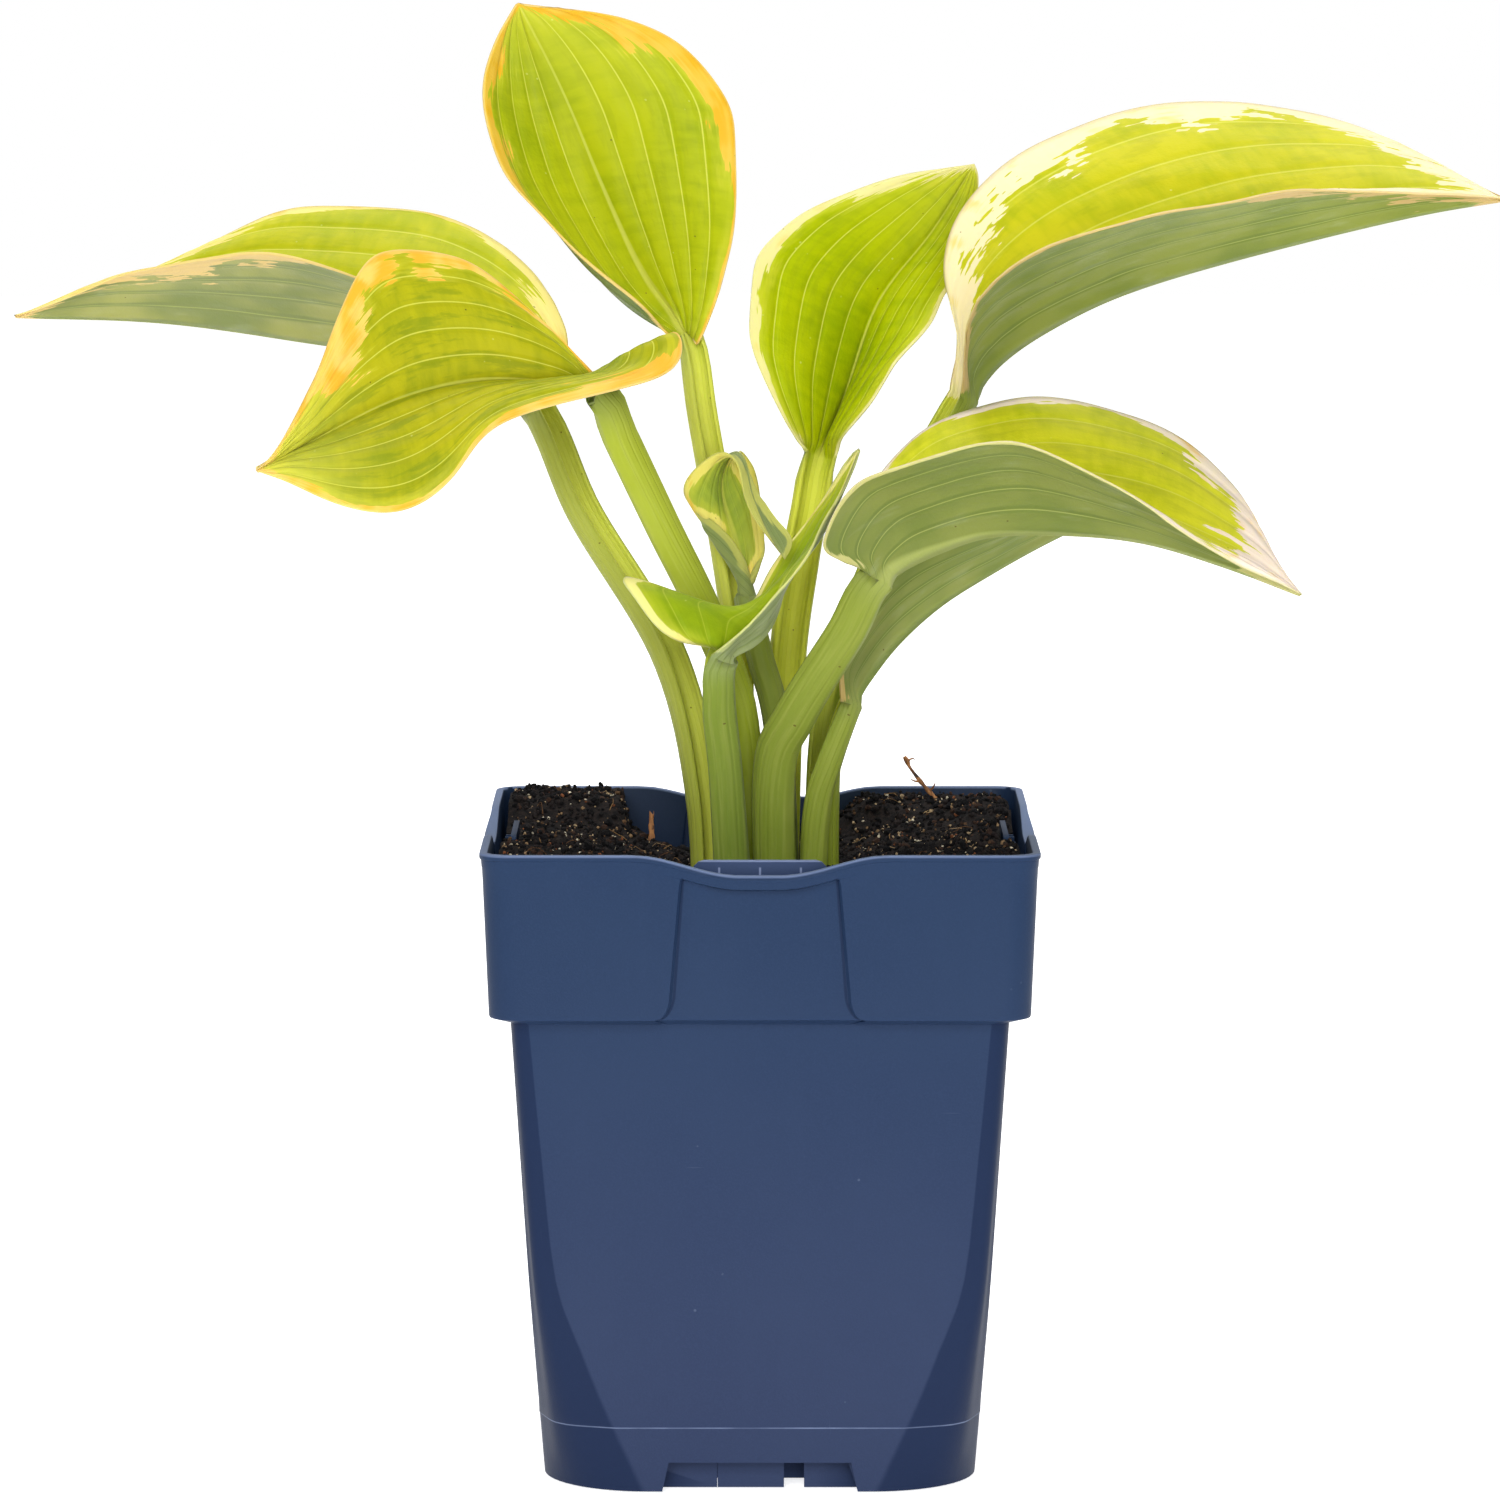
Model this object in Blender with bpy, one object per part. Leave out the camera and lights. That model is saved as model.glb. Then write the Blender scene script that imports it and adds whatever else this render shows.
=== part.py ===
"""A potted hosta: a square nursery pot, its soil, and nine leaves that each stand in the soil.

Lengths are in millimetres here and become metres when a mesh is made. X runs to the right, Y runs
away from the front, Z is up, and the origin is on the ground under the middle of the pot.
"""

import math
import random
from dataclasses import dataclass

import bmesh
import bpy
import numpy as np

MM = 0.001
GAP = 0.3  # the clearance between two pieces that touch

# ---- the pot ----
RIM_HALF = 55.0  # half of the 110 mm square rim
RIM_HEIGHT = 129.0
RIM_CORNER = 5.5
COLLAR_FOOT = 96.0  # where the wide collar begins
COLLAR_FOOT_HALF = 53.3
COLLAR_CORNER = 6.2
COLLAR_INNER_CORNER = 5.0
BODY_TOP_HALF = 49.1
BODY_FOOT_HALF = 43.3
BODY_TOP = COLLAR_FOOT - 1.2
WALL = 1.2
SKIRT = 6.0  # the floor's underside stands this high above the ground
DIP = 3.9  # how far the rim dips in the middle of each side
DIP_OUTER = 25.0
DIP_INNER = 4.0
PANEL_RECESS = 1.0  # the middle panel lies behind the corner panels
PANEL_TOP_HALF = 14.7
PANEL_FOOT_HALF = 17.2
PANEL_FLARE_HALF = 20.2  # its rounded lower corners flare out to this at the collar's foot
PANEL_FLARE_HEIGHT = 5.0
PANEL_STEP = 0.6
CUTOUT_TOP_HALF = 17.5
CUTOUT_FOOT_HALF = 18.8
LIP_DROP = 2.7
LIP_BULGE = 1.1
BEAD = 0.4
# corner radius of the body at some heights: the corners open into cones towards the foot
BODY_CORNERS = ((0.0, 21.0), (15.8, 14.5), (28.7, 10.0), (43.0, 5.8), (68.0, 4.6), (BODY_TOP, 3.8))
CORNER_STEPS = 5
SIDE_COLUMNS = (0.0, 4.5, 9.0)  # columns of the mesh across half of the middle panel
SHOULDER_COLUMNS = (0.3, 0.6)  # columns between the panel and the corner, as shares of that way

# ---- the label pocket inside each side ----
TONGUE_HALF = 13.3
TONGUE_TOP = RIM_HEIGHT - 1.6
TONGUE_FOOT = 99.0
TONGUE_FACE = 50.0  # the face towards the collar
TONGUE_THICK = 1.1
TONGUE_CORNER = 2.4
POCKET_RIBS = (-8.0, 0.0, 8.0)
POCKET_RIB = 0.7

# ---- the plates under the floor ----
FOOT_PLATES = ((-30.0, -9.2), (-8.4, 4.8), (8.8, 30.0))
FOOT_PLATE_OUT = 39.2
FOOT_PLATE_THICK = 1.4


def lerp(a, b, t):
    return a + (b - a) * t


def smooth(t):
    t = min(max(t, 0.0), 1.0)
    return t * t * (3 - 2 * t)


def table_value(table, x):
    """Linear interpolation in a short table of (x, value) pairs."""
    return float(np.interp(x, [row[0] for row in table], [row[1] for row in table]))


def body_half(z):
    return lerp(BODY_FOOT_HALF, BODY_TOP_HALF, z / BODY_TOP)


def rim_dip(u):
    """How far the rim lies below its corners at a distance u from a side's middle."""
    return DIP * smooth((DIP_OUTER - abs(u)) / (DIP_OUTER - DIP_INNER))


def panel_edge(z):
    """Half the width of the middle panel in the collar, and of the cutout at the foot."""
    if z <= SKIRT:
        return lerp(CUTOUT_FOOT_HALF, CUTOUT_TOP_HALF, z / SKIRT)
    if z <= BODY_TOP:
        return CUTOUT_TOP_HALF
    low = COLLAR_FOOT + PANEL_FLARE_HEIGHT
    if z < low:
        return lerp(PANEL_FLARE_HALF, PANEL_FOOT_HALF, (z - COLLAR_FOOT) / PANEL_FLARE_HEIGHT)
    return lerp(PANEL_FOOT_HALF, PANEL_TOP_HALF, (z - low) / (RIM_HEIGHT - low))


def side_columns(half, corner, edge):
    """Distances from a side's middle, from its left end to its right end."""
    inner = [u for u in SIDE_COLUMNS if u < edge - 1.0]
    flat = half - corner
    outer_edge = min(edge + PANEL_STEP, flat - 0.6)
    right = inner + [edge, outer_edge] + [lerp(outer_edge, flat, s) for s in SHOULDER_COLUMNS] + [flat]
    return [-u for u in reversed(right[1:])] + right


def square_ring(half, corner, edge, shape=None):
    """A rounded square as a closed list of points (x, y, side distance), counter-clockwise from the front.

    shape(u) moves the points of a side outwards.
    """
    points = []
    for quarter in range(4):
        turn = math.radians(90 * quarter)
        cos, sin = math.cos(turn), math.sin(turn)
        row = []
        for u in side_columns(half, corner, edge):
            out = shape(u) if shape else 0.0
            row.append((u, -half - out, u))
        for step in range(1, CORNER_STEPS):
            a = math.radians(90 * step / CORNER_STEPS)
            x = half - corner + corner * math.sin(a)
            y = -(half - corner) - corner * math.cos(a)
            row.append((x, y, RIM_HALF))
        points += [(x * cos - y * sin, x * sin + y * cos, u) for x, y, u in row]
    return points


def ring_at(z, half, corner, edge=None, shape=None, height=None):
    """The points of a ring in 3-D. height(u) gives each point's own height instead of z."""
    edge = panel_edge(z) if edge is None else edge
    ring = square_ring(half, corner, edge, shape)
    return [(x, y, height(u) if height else z) for x, y, u in ring]


def panel_recess(edge, depth):
    return lambda u: -depth if abs(u) <= edge + 0.01 else 0.0


def lip_shape(edge, bulge, recess=0.0):
    """The rolled lip swells outwards in the middle of each side."""
    return lambda u: bulge * smooth((edge + 6 - abs(u)) / 12) - (recess if abs(u) <= edge + 0.01 else 0.0)


def cutout_height(u):
    return SKIRT - 0.1 if abs(u) <= CUTOUT_FOOT_HALF + 0.01 else 0.0


def pot_rings():
    """The rings of the pot's wall from the foot of the skirt, up outside, over the rim and down inside."""
    rings = [ring_at(0, BODY_FOOT_HALF, BODY_CORNERS[0][1], height=cutout_height)]
    for z, corner in BODY_CORNERS[1:]:
        rings.append(ring_at(z, body_half(z), corner))
    foot_edge = panel_edge(COLLAR_FOOT)
    foot_recess = panel_recess(foot_edge, PANEL_RECESS)
    mid = COLLAR_FOOT + PANEL_FLARE_HEIGHT
    mid_half = COLLAR_FOOT_HALF + 0.2
    mid_recess = panel_recess(panel_edge(mid), PANEL_RECESS)
    rings.append(ring_at(COLLAR_FOOT, COLLAR_FOOT_HALF, COLLAR_CORNER, foot_edge, foot_recess))
    rings.append(ring_at(mid, mid_half, COLLAR_CORNER, None, mid_recess))
    edge = PANEL_TOP_HALF + 0.3
    top = RIM_HALF - BEAD

    def follow(drop):
        return lambda u: RIM_HEIGHT - drop - rim_dip(u)

    rings += [
        ring_at(0, top - 0.1, RIM_CORNER, edge, lip_shape(edge, 0, PANEL_RECESS), follow(LIP_DROP + 0.5)),
        ring_at(0, top, RIM_CORNER, edge, lip_shape(edge, LIP_BULGE), follow(LIP_DROP)),
        ring_at(0, top + 0.1, RIM_CORNER, edge, lip_shape(edge, LIP_BULGE), follow(1.2)),
        ring_at(0, RIM_HALF, RIM_CORNER, edge, lip_shape(edge, LIP_BULGE * 0.9), follow(0.9)),
        ring_at(0, RIM_HALF - 0.2, RIM_CORNER, edge, lip_shape(edge, LIP_BULGE * 0.6), follow(0.1)),
        ring_at(0, top - 0.6, RIM_CORNER, edge, lip_shape(edge, LIP_BULGE * 0.3), follow(0)),
        ring_at(0, top - WALL, RIM_CORNER - 1, edge, None, follow(0.4)),
    ]
    inner_foot = COLLAR_FOOT_HALF - WALL
    rings.append(ring_at(mid, mid_half - WALL, COLLAR_INNER_CORNER, None, mid_recess))
    rings.append(ring_at(COLLAR_FOOT + WALL, inner_foot, COLLAR_INNER_CORNER, foot_edge, foot_recess))
    for z, corner in reversed(BODY_CORNERS[1:]):
        rings.append(ring_at(z, body_half(z) - WALL, max(corner - WALL, 1.0)))
    rings.append(ring_at(SKIRT + WALL, body_half(SKIRT) - WALL, 18.5))
    return rings


def skirt_rings():
    """The inner face of the skirt, from the ground up to the underside of the floor."""
    foot = ring_at(0, BODY_FOOT_HALF - WALL, BODY_CORNERS[0][1] - WALL, height=cutout_height)
    top = ring_at(SKIRT, body_half(SKIRT) - WALL, 18.3)
    return foot, top


def add_ring(bm, points):
    return [bm.verts.new(p) for p in points]


def bridge(bm, low, high):
    """Quads between two rings of equal length."""
    count = len(low)
    for i in range(count):
        j = (i + 1) % count
        bm.faces.new((low[i], low[j], high[j], high[i]))


def cap(bm, ring, z, upwards):
    """Closes a ring with triangles around a middle point."""
    middle = bm.verts.new((0.0, 0.0, z))
    count = len(ring)
    for i in range(count):
        j = (i + 1) % count
        bm.faces.new((ring[i], ring[j], middle) if upwards else (ring[j], ring[i], middle))


def new_mesh(name, bm):
    """A mesh in metres from a bmesh in millimetres, with its faces turned outwards."""
    bmesh.ops.triangulate(bm, faces=bm.faces[:])
    bmesh.ops.recalc_face_normals(bm, faces=bm.faces[:])
    if bm.calc_volume(signed=True) < 0:
        bmesh.ops.reverse_faces(bm, faces=bm.faces[:])
    for vert in bm.verts:
        vert.co *= MM
    mesh = bpy.data.meshes.new(name)
    bm.to_mesh(mesh)
    bm.free()
    return mesh


def new_object(name, bm, material):
    part = bpy.data.objects.new(name, new_mesh(name, bm))
    bpy.context.scene.collection.objects.link(part)
    part.data.materials.append(material)
    return part


def new_material(name, color, roughness):
    material = bpy.data.materials.new(name)
    material.use_nodes = True
    shader = material.node_tree.nodes["Principled BSDF"]
    shader.inputs["Base Color"].default_value = (*color, 1.0)
    shader.inputs["Roughness"].default_value = roughness
    shader.inputs["Metallic"].default_value = 0.0
    return material


def boolean(part, other, operation):
    """A Boolean modifier that stays on the part, with its helper hidden from renders."""
    other.hide_render = True
    other.display_type = "WIRE"
    step = part.modifiers.new(operation.title(), "BOOLEAN")
    step.operation = operation
    step.solver = "EXACT"
    step.object = other


def add_box(bm, low, high, turn=0.0):
    """An upright box between two corners, turned about Z."""
    cos, sin = math.cos(turn), math.sin(turn)
    corners = [
        (x * cos - y * sin, x * sin + y * cos, z)
        for z in (low[2], high[2])
        for x, y in ((low[0], low[1]), (high[0], low[1]), (high[0], high[1]), (low[0], high[1]))
    ]
    v = [bm.verts.new(c) for c in corners]
    for face in ((3, 2, 1, 0), (4, 5, 6, 7), (0, 1, 5, 4), (1, 2, 6, 5), (2, 3, 7, 6), (3, 0, 4, 7)):
        bm.faces.new([v[i] for i in face])


def add_extrusion(bm, outline, near, far, turn):
    """A plate with an outline in X and Z, from Y = near to Y = far, turned about Z."""
    cos, sin = math.cos(turn), math.sin(turn)
    rings = []
    for y in (near, far):
        rings.append([bm.verts.new((x * cos - y * sin, x * sin + y * cos, z)) for x, z in outline])
    count = len(outline)
    bm.faces.new(rings[0])
    bm.faces.new(list(reversed(rings[1])))
    for i in range(count):
        j = (i + 1) % count
        bm.faces.new((rings[0][j], rings[0][i], rings[1][i], rings[1][j]))


def tongue_outline():
    """The label pocket's inner wall, with rounded upper corners."""
    points = [(-TONGUE_HALF, TONGUE_FOOT), (TONGUE_HALF, TONGUE_FOOT)]
    for side in (1, -1):
        angles = range(0, 91, 30) if side > 0 else range(90, -1, -30)
        for a in angles:
            r = math.radians(a)
            x = TONGUE_HALF - TONGUE_CORNER * (1 - math.cos(r))
            z = TONGUE_TOP - TONGUE_CORNER * (1 - math.sin(r))
            points.append((side * x, z))
    return points


def pocket_pieces():
    """The tongue, its two end webs and its ribs for every side, as one helper object for each kind."""
    tongues, webs, plates = bmesh.new(), bmesh.new(), bmesh.new()
    wall = COLLAR_FOOT_HALF - PANEL_RECESS - 0.5
    for quarter in range(4):
        turn = math.radians(90 * quarter)
        add_extrusion(tongues, tongue_outline(), -TONGUE_FACE, -TONGUE_FACE + TONGUE_THICK, turn)
        for side in (-1, 1):
            outer, inner = side * (TONGUE_HALF - 0.1), side * (TONGUE_HALF - 1.0)
            low = (min(outer, inner), -wall, TONGUE_FOOT + 0.5)
            high = (max(outer, inner), -TONGUE_FACE + 0.6, TONGUE_TOP - 3.2)
            add_box(webs, low, high, turn)
        for x in POCKET_RIBS:
            low = (x - POCKET_RIB / 2, -wall, TONGUE_FOOT + 0.5)
            high = (x + POCKET_RIB / 2, -TONGUE_FACE + 0.6, RIM_HEIGHT - DIP - 0.7)
            add_box(webs, low, high, turn)
        for start, end in FOOT_PLATES:
            low = (start, -FOOT_PLATE_OUT, 0.0)
            add_box(plates, low, (end, FOOT_PLATE_THICK - FOOT_PLATE_OUT, SKIRT + 0.6), turn)
    return tongues, webs, plates


def make_pot():
    bm = bmesh.new()
    rings = [add_ring(bm, ring) for ring in pot_rings()]
    for low, high in zip(rings, rings[1:]):
        bridge(bm, low, high)
    skirt_foot, skirt_top = (add_ring(bm, ring) for ring in skirt_rings())
    bridge(bm, skirt_foot, rings[0])
    bridge(bm, skirt_top, skirt_foot)
    cap(bm, skirt_top, SKIRT, False)
    cap(bm, rings[-1], SKIRT + WALL, True)
    blue = new_material("pot_blue", (0.045, 0.075, 0.16), 0.45)
    pot = new_object("pot", bm, blue)
    for name, piece in zip(("pocket_tongues", "pocket_webs", "foot_plates"), pocket_pieces()):
        helper = new_object(name + "_helper", piece, blue)
        boolean(pot, helper, "UNION")
    return pot


# ---- the leaves ----
LEAF_THICK = 0.65
PETIOLE_EDGE = 0.8
PETIOLE_ROWS = 8
BLADE_ROWS = 18
LEAF_COLUMNS = 9
PATH_SAMPLES = 240
CHANNEL = (12.0, 92.0)  # fold and curl of each half of a petiole's channelled section, in degrees
ROW_BIAS = 1.15  # above 1 the rows lie closer together near the petiole
BLEND = 0.14  # the share of the blade's rows in which the channel opens out
# where each twelfth of the rows has its foot on the midrib, close together at the heart-shaped base
MIDRIB = (0.0, 0.02, 0.05, 0.10, 0.18, 0.28, 0.40, 0.52, 0.64, 0.76, 0.87, 0.96, 1.0)


@dataclass
class Leaf:
    """A leaf: one channelled petiole that widens into a blade.

    A margin's point is (share of the blade's rows, x, y, z). It begins at the petiole and ends at the tip.
    """

    name: str
    path: tuple  # the midrib, from the petiole's foot to the blade's tip
    junction: int  # the point of the path where the blade begins
    petiole: tuple  # half the petiole's width, measured around its section, at its foot and its top
    up: tuple  # where the petiole's channel looks: at its foot and its top
    left: tuple  # the left margin
    right: tuple
    arch: tuple = (2.0, 2.0)  # how far each half of the blade swells upwards
    wave: float = 0.5
    waves: float = 3.0


def spline(points, at):
    """A Catmull-Rom curve through points, at parameters from 0 to 1."""
    p = np.array(points, float)
    p = np.vstack((2 * p[0] - p[1], p, 2 * p[-1] - p[-2]))
    x = np.clip(np.asarray(at, float), 0, 1) * (len(points) - 1)
    i = np.minimum(x.astype(int), len(points) - 2)
    t = (x - i)[:, None]
    a, b, c, d = p[i], p[i + 1], p[i + 2], p[i + 3]
    return 0.5 * (2 * b + (c - a) * t + (2 * a - 5 * b + 4 * c - d) * t**2 + (3 * b - a - 3 * c + d) * t**3)


def unit(v):
    return v / np.maximum(np.linalg.norm(v, axis=-1, keepdims=True), 1e-9)


def ease(x):
    x = np.clip(x, 0, 1)
    return x * x * (3 - 2 * x)


class Path:
    """A leaf's midrib by its length, which is 0 at the junction and negative along the petiole."""

    def __init__(self, leaf):
        at = np.linspace(0, 1, PATH_SAMPLES)
        self.points = spline(leaf.path, at)
        steps = np.linalg.norm(np.diff(self.points, axis=0), axis=1)
        length = np.concatenate(([0.0], np.cumsum(steps)))
        self.petiole = float(np.interp(leaf.junction / (len(leaf.path) - 1), at, length))
        self.length = length - self.petiole
        self.blade = float(self.length[-1])
        self.tangents = unit(np.gradient(self.points, self.length, axis=0))
        ends = (-self.petiole, 0)
        hints = np.array(leaf.up, float).T
        self.hints = np.stack([np.interp(self.length, ends, pair) for pair in hints], axis=1)

    def frame(self, length):
        """Point, direction, side and upper normal at each length."""

        def pick(values):
            return np.stack([np.interp(length, self.length, values[..., k]) for k in range(3)], axis=-1)

        tangent = unit(pick(self.tangents))
        side = unit(np.cross(tangent, pick(self.hints)))
        return pick(self.points), tangent, side, np.cross(side, tangent)


def section(fold, curl, t, width):
    """How far out and how far up a half section reaches at the shares t of its width."""
    a0, c = math.radians(fold), math.radians(curl)
    end = a0 + c * t
    return width * (np.sin(end) - math.sin(a0)) / c, width * (math.cos(a0) - np.cos(end)) / c


def margin(leaf, table, start, rows):
    """The margin of one half at each row. It starts at the petiole's edge and ends at the tip."""
    knots = np.array(((0.0, *start), *table, (1.0, *leaf.path[-1])), float)
    line = spline(knots, np.linspace(0, 1, PATH_SAMPLES))
    place = np.maximum.accumulate(line[:, 0])
    return np.stack([np.interp(rows, place, line[:, k]) for k in (1, 2, 3)], axis=1)


def blade_half(leaf, right, share, stem, middle, tangent, rows):
    """One half of the blade: lines from the midrib to the margin, arched, that leave the channel smoothly."""
    edge = margin(leaf, leaf.right if right else leaf.left, stem[-1 if right else 0], rows)
    away = edge - middle
    ahead = (away * tangent).sum(axis=1, keepdims=True) * tangent
    across = away - ahead
    over = unit(np.cross(across, tangent)) * (1 if right else -1)
    arch = leaf.arch[1 if right else 0] * 4 * share * (1 - share)
    ripple = leaf.wave * share**2 * np.sin(2 * np.pi * leaf.waves * rows[:, None] + (1.3 if right else -1.3))
    lift = (arch + ripple) * (ease(rows / 0.3) * ease((1 - rows) / 0.2))[:, None]
    channel = stem - middle[0] - (stem[-1 if right else 0] - middle[0]) * share[:, None]
    opened = ease(rows / BLEND)[:, None, None]
    straight = middle[:, None] + across[:, None] * share[:, None] + ahead[:, None] * share[:, None] ** 1.6
    return straight + channel * (1 - opened) + over[:, None] * lift[..., None]


def leaf_grid(leaf, petiole_rows, blade_rows, columns):
    """The upper face of a leaf as a grid of points, with each point's place across and along it."""
    path = Path(leaf)
    t = np.linspace(-1, 1, columns)
    share = np.abs(t)
    rows = np.linspace(0, 1, blade_rows) ** ROW_BIAS
    foot = np.linspace(-path.petiole, 0, petiole_rows, endpoint=False)
    middle, tangent, side, normal = path.frame(np.append(foot, 0.0))
    width = np.linspace(*leaf.petiole, petiole_rows + 1)[:, None]
    out, rise = section(*CHANNEL, share, width)
    stem = middle[:, None] + side[:, None] * (np.sign(t) * out)[..., None] + normal[:, None] * rise[..., None]
    along = np.interp(rows, np.linspace(0, 1, len(MIDRIB)), MIDRIB) * path.blade
    middle, tangent, side, normal = path.frame(along)
    blade = np.zeros((blade_rows, columns, 3))
    for right, mine in ((False, t < 0), (True, t >= 0)):
        blade[:, mine] = blade_half(leaf, right, share[mine], stem[-1, mine], middle, tangent, rows)
    return np.concatenate((stem[:-1], blade)), t, np.concatenate((foot / path.petiole, rows))


def grid_normals(points):
    return unit(np.cross(np.gradient(points, axis=1), np.gradient(points, axis=0)))


def leaf_thickness(leaf, t, row):
    """Thick in the middle of the petiole, thin in the blade, with a midrib that fades out."""
    stem = np.interp(row, (-1, 0, 0.12, 0.6, 1), (1.0, 0.8, 0.35, 0.1, 0.0))[:, None] * leaf.petiole[0] * 0.6
    edge = np.interp(row, (-0.1, 0.1), (PETIOLE_EDGE, LEAF_THICK))[:, None]
    spread = np.interp(row, (-0.05, 0.15), (1.0, 6.0))[:, None]
    return edge + stem * (1 - np.abs(t)) ** spread


def add_leaf(bm, leaf):
    """One closed sheet: both faces are split into triangles in the same way, so that they never cross."""
    upper, t, row = leaf_grid(leaf, PETIOLE_ROWS, BLADE_ROWS, LEAF_COLUMNS)
    lower = upper - grid_normals(upper) * leaf_thickness(leaf, t, row)[..., None]
    rows, columns = upper.shape[:2]
    faces = []
    for grid in (upper, lower):
        verts = [[bm.verts.new(p) for p in line] for line in grid[:-1]]
        tip = bm.verts.new(grid[-1, columns // 2])
        verts.append([tip] * columns)
        faces.append(verts)
    top, under = faces

    def triangle(a, b, c):
        if len({a, b, c}) == 3:
            bm.faces.new((a, b, c))

    for i in range(rows - 1):
        for j in range(columns - 1):
            for side, flip in ((top, False), (under, True)):
                a, b, c, d = side[i][j], side[i][j + 1], side[i + 1][j + 1], side[i + 1][j]
                pieces = ((a, b, c), (a, c, d)) if j >= columns // 2 else ((a, b, d), (b, c, d))
                for piece in pieces:
                    triangle(*(reversed(piece) if flip else piece))
        for j in (0, columns - 1):
            triangle(top[i][j], under[i][j], top[i + 1][j])
            triangle(under[i][j], under[i + 1][j], top[i + 1][j])
    for j in range(columns - 1):
        triangle(top[0][j], under[0][j], top[0][j + 1])
        triangle(under[0][j], under[0][j + 1], top[0][j + 1])


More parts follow.
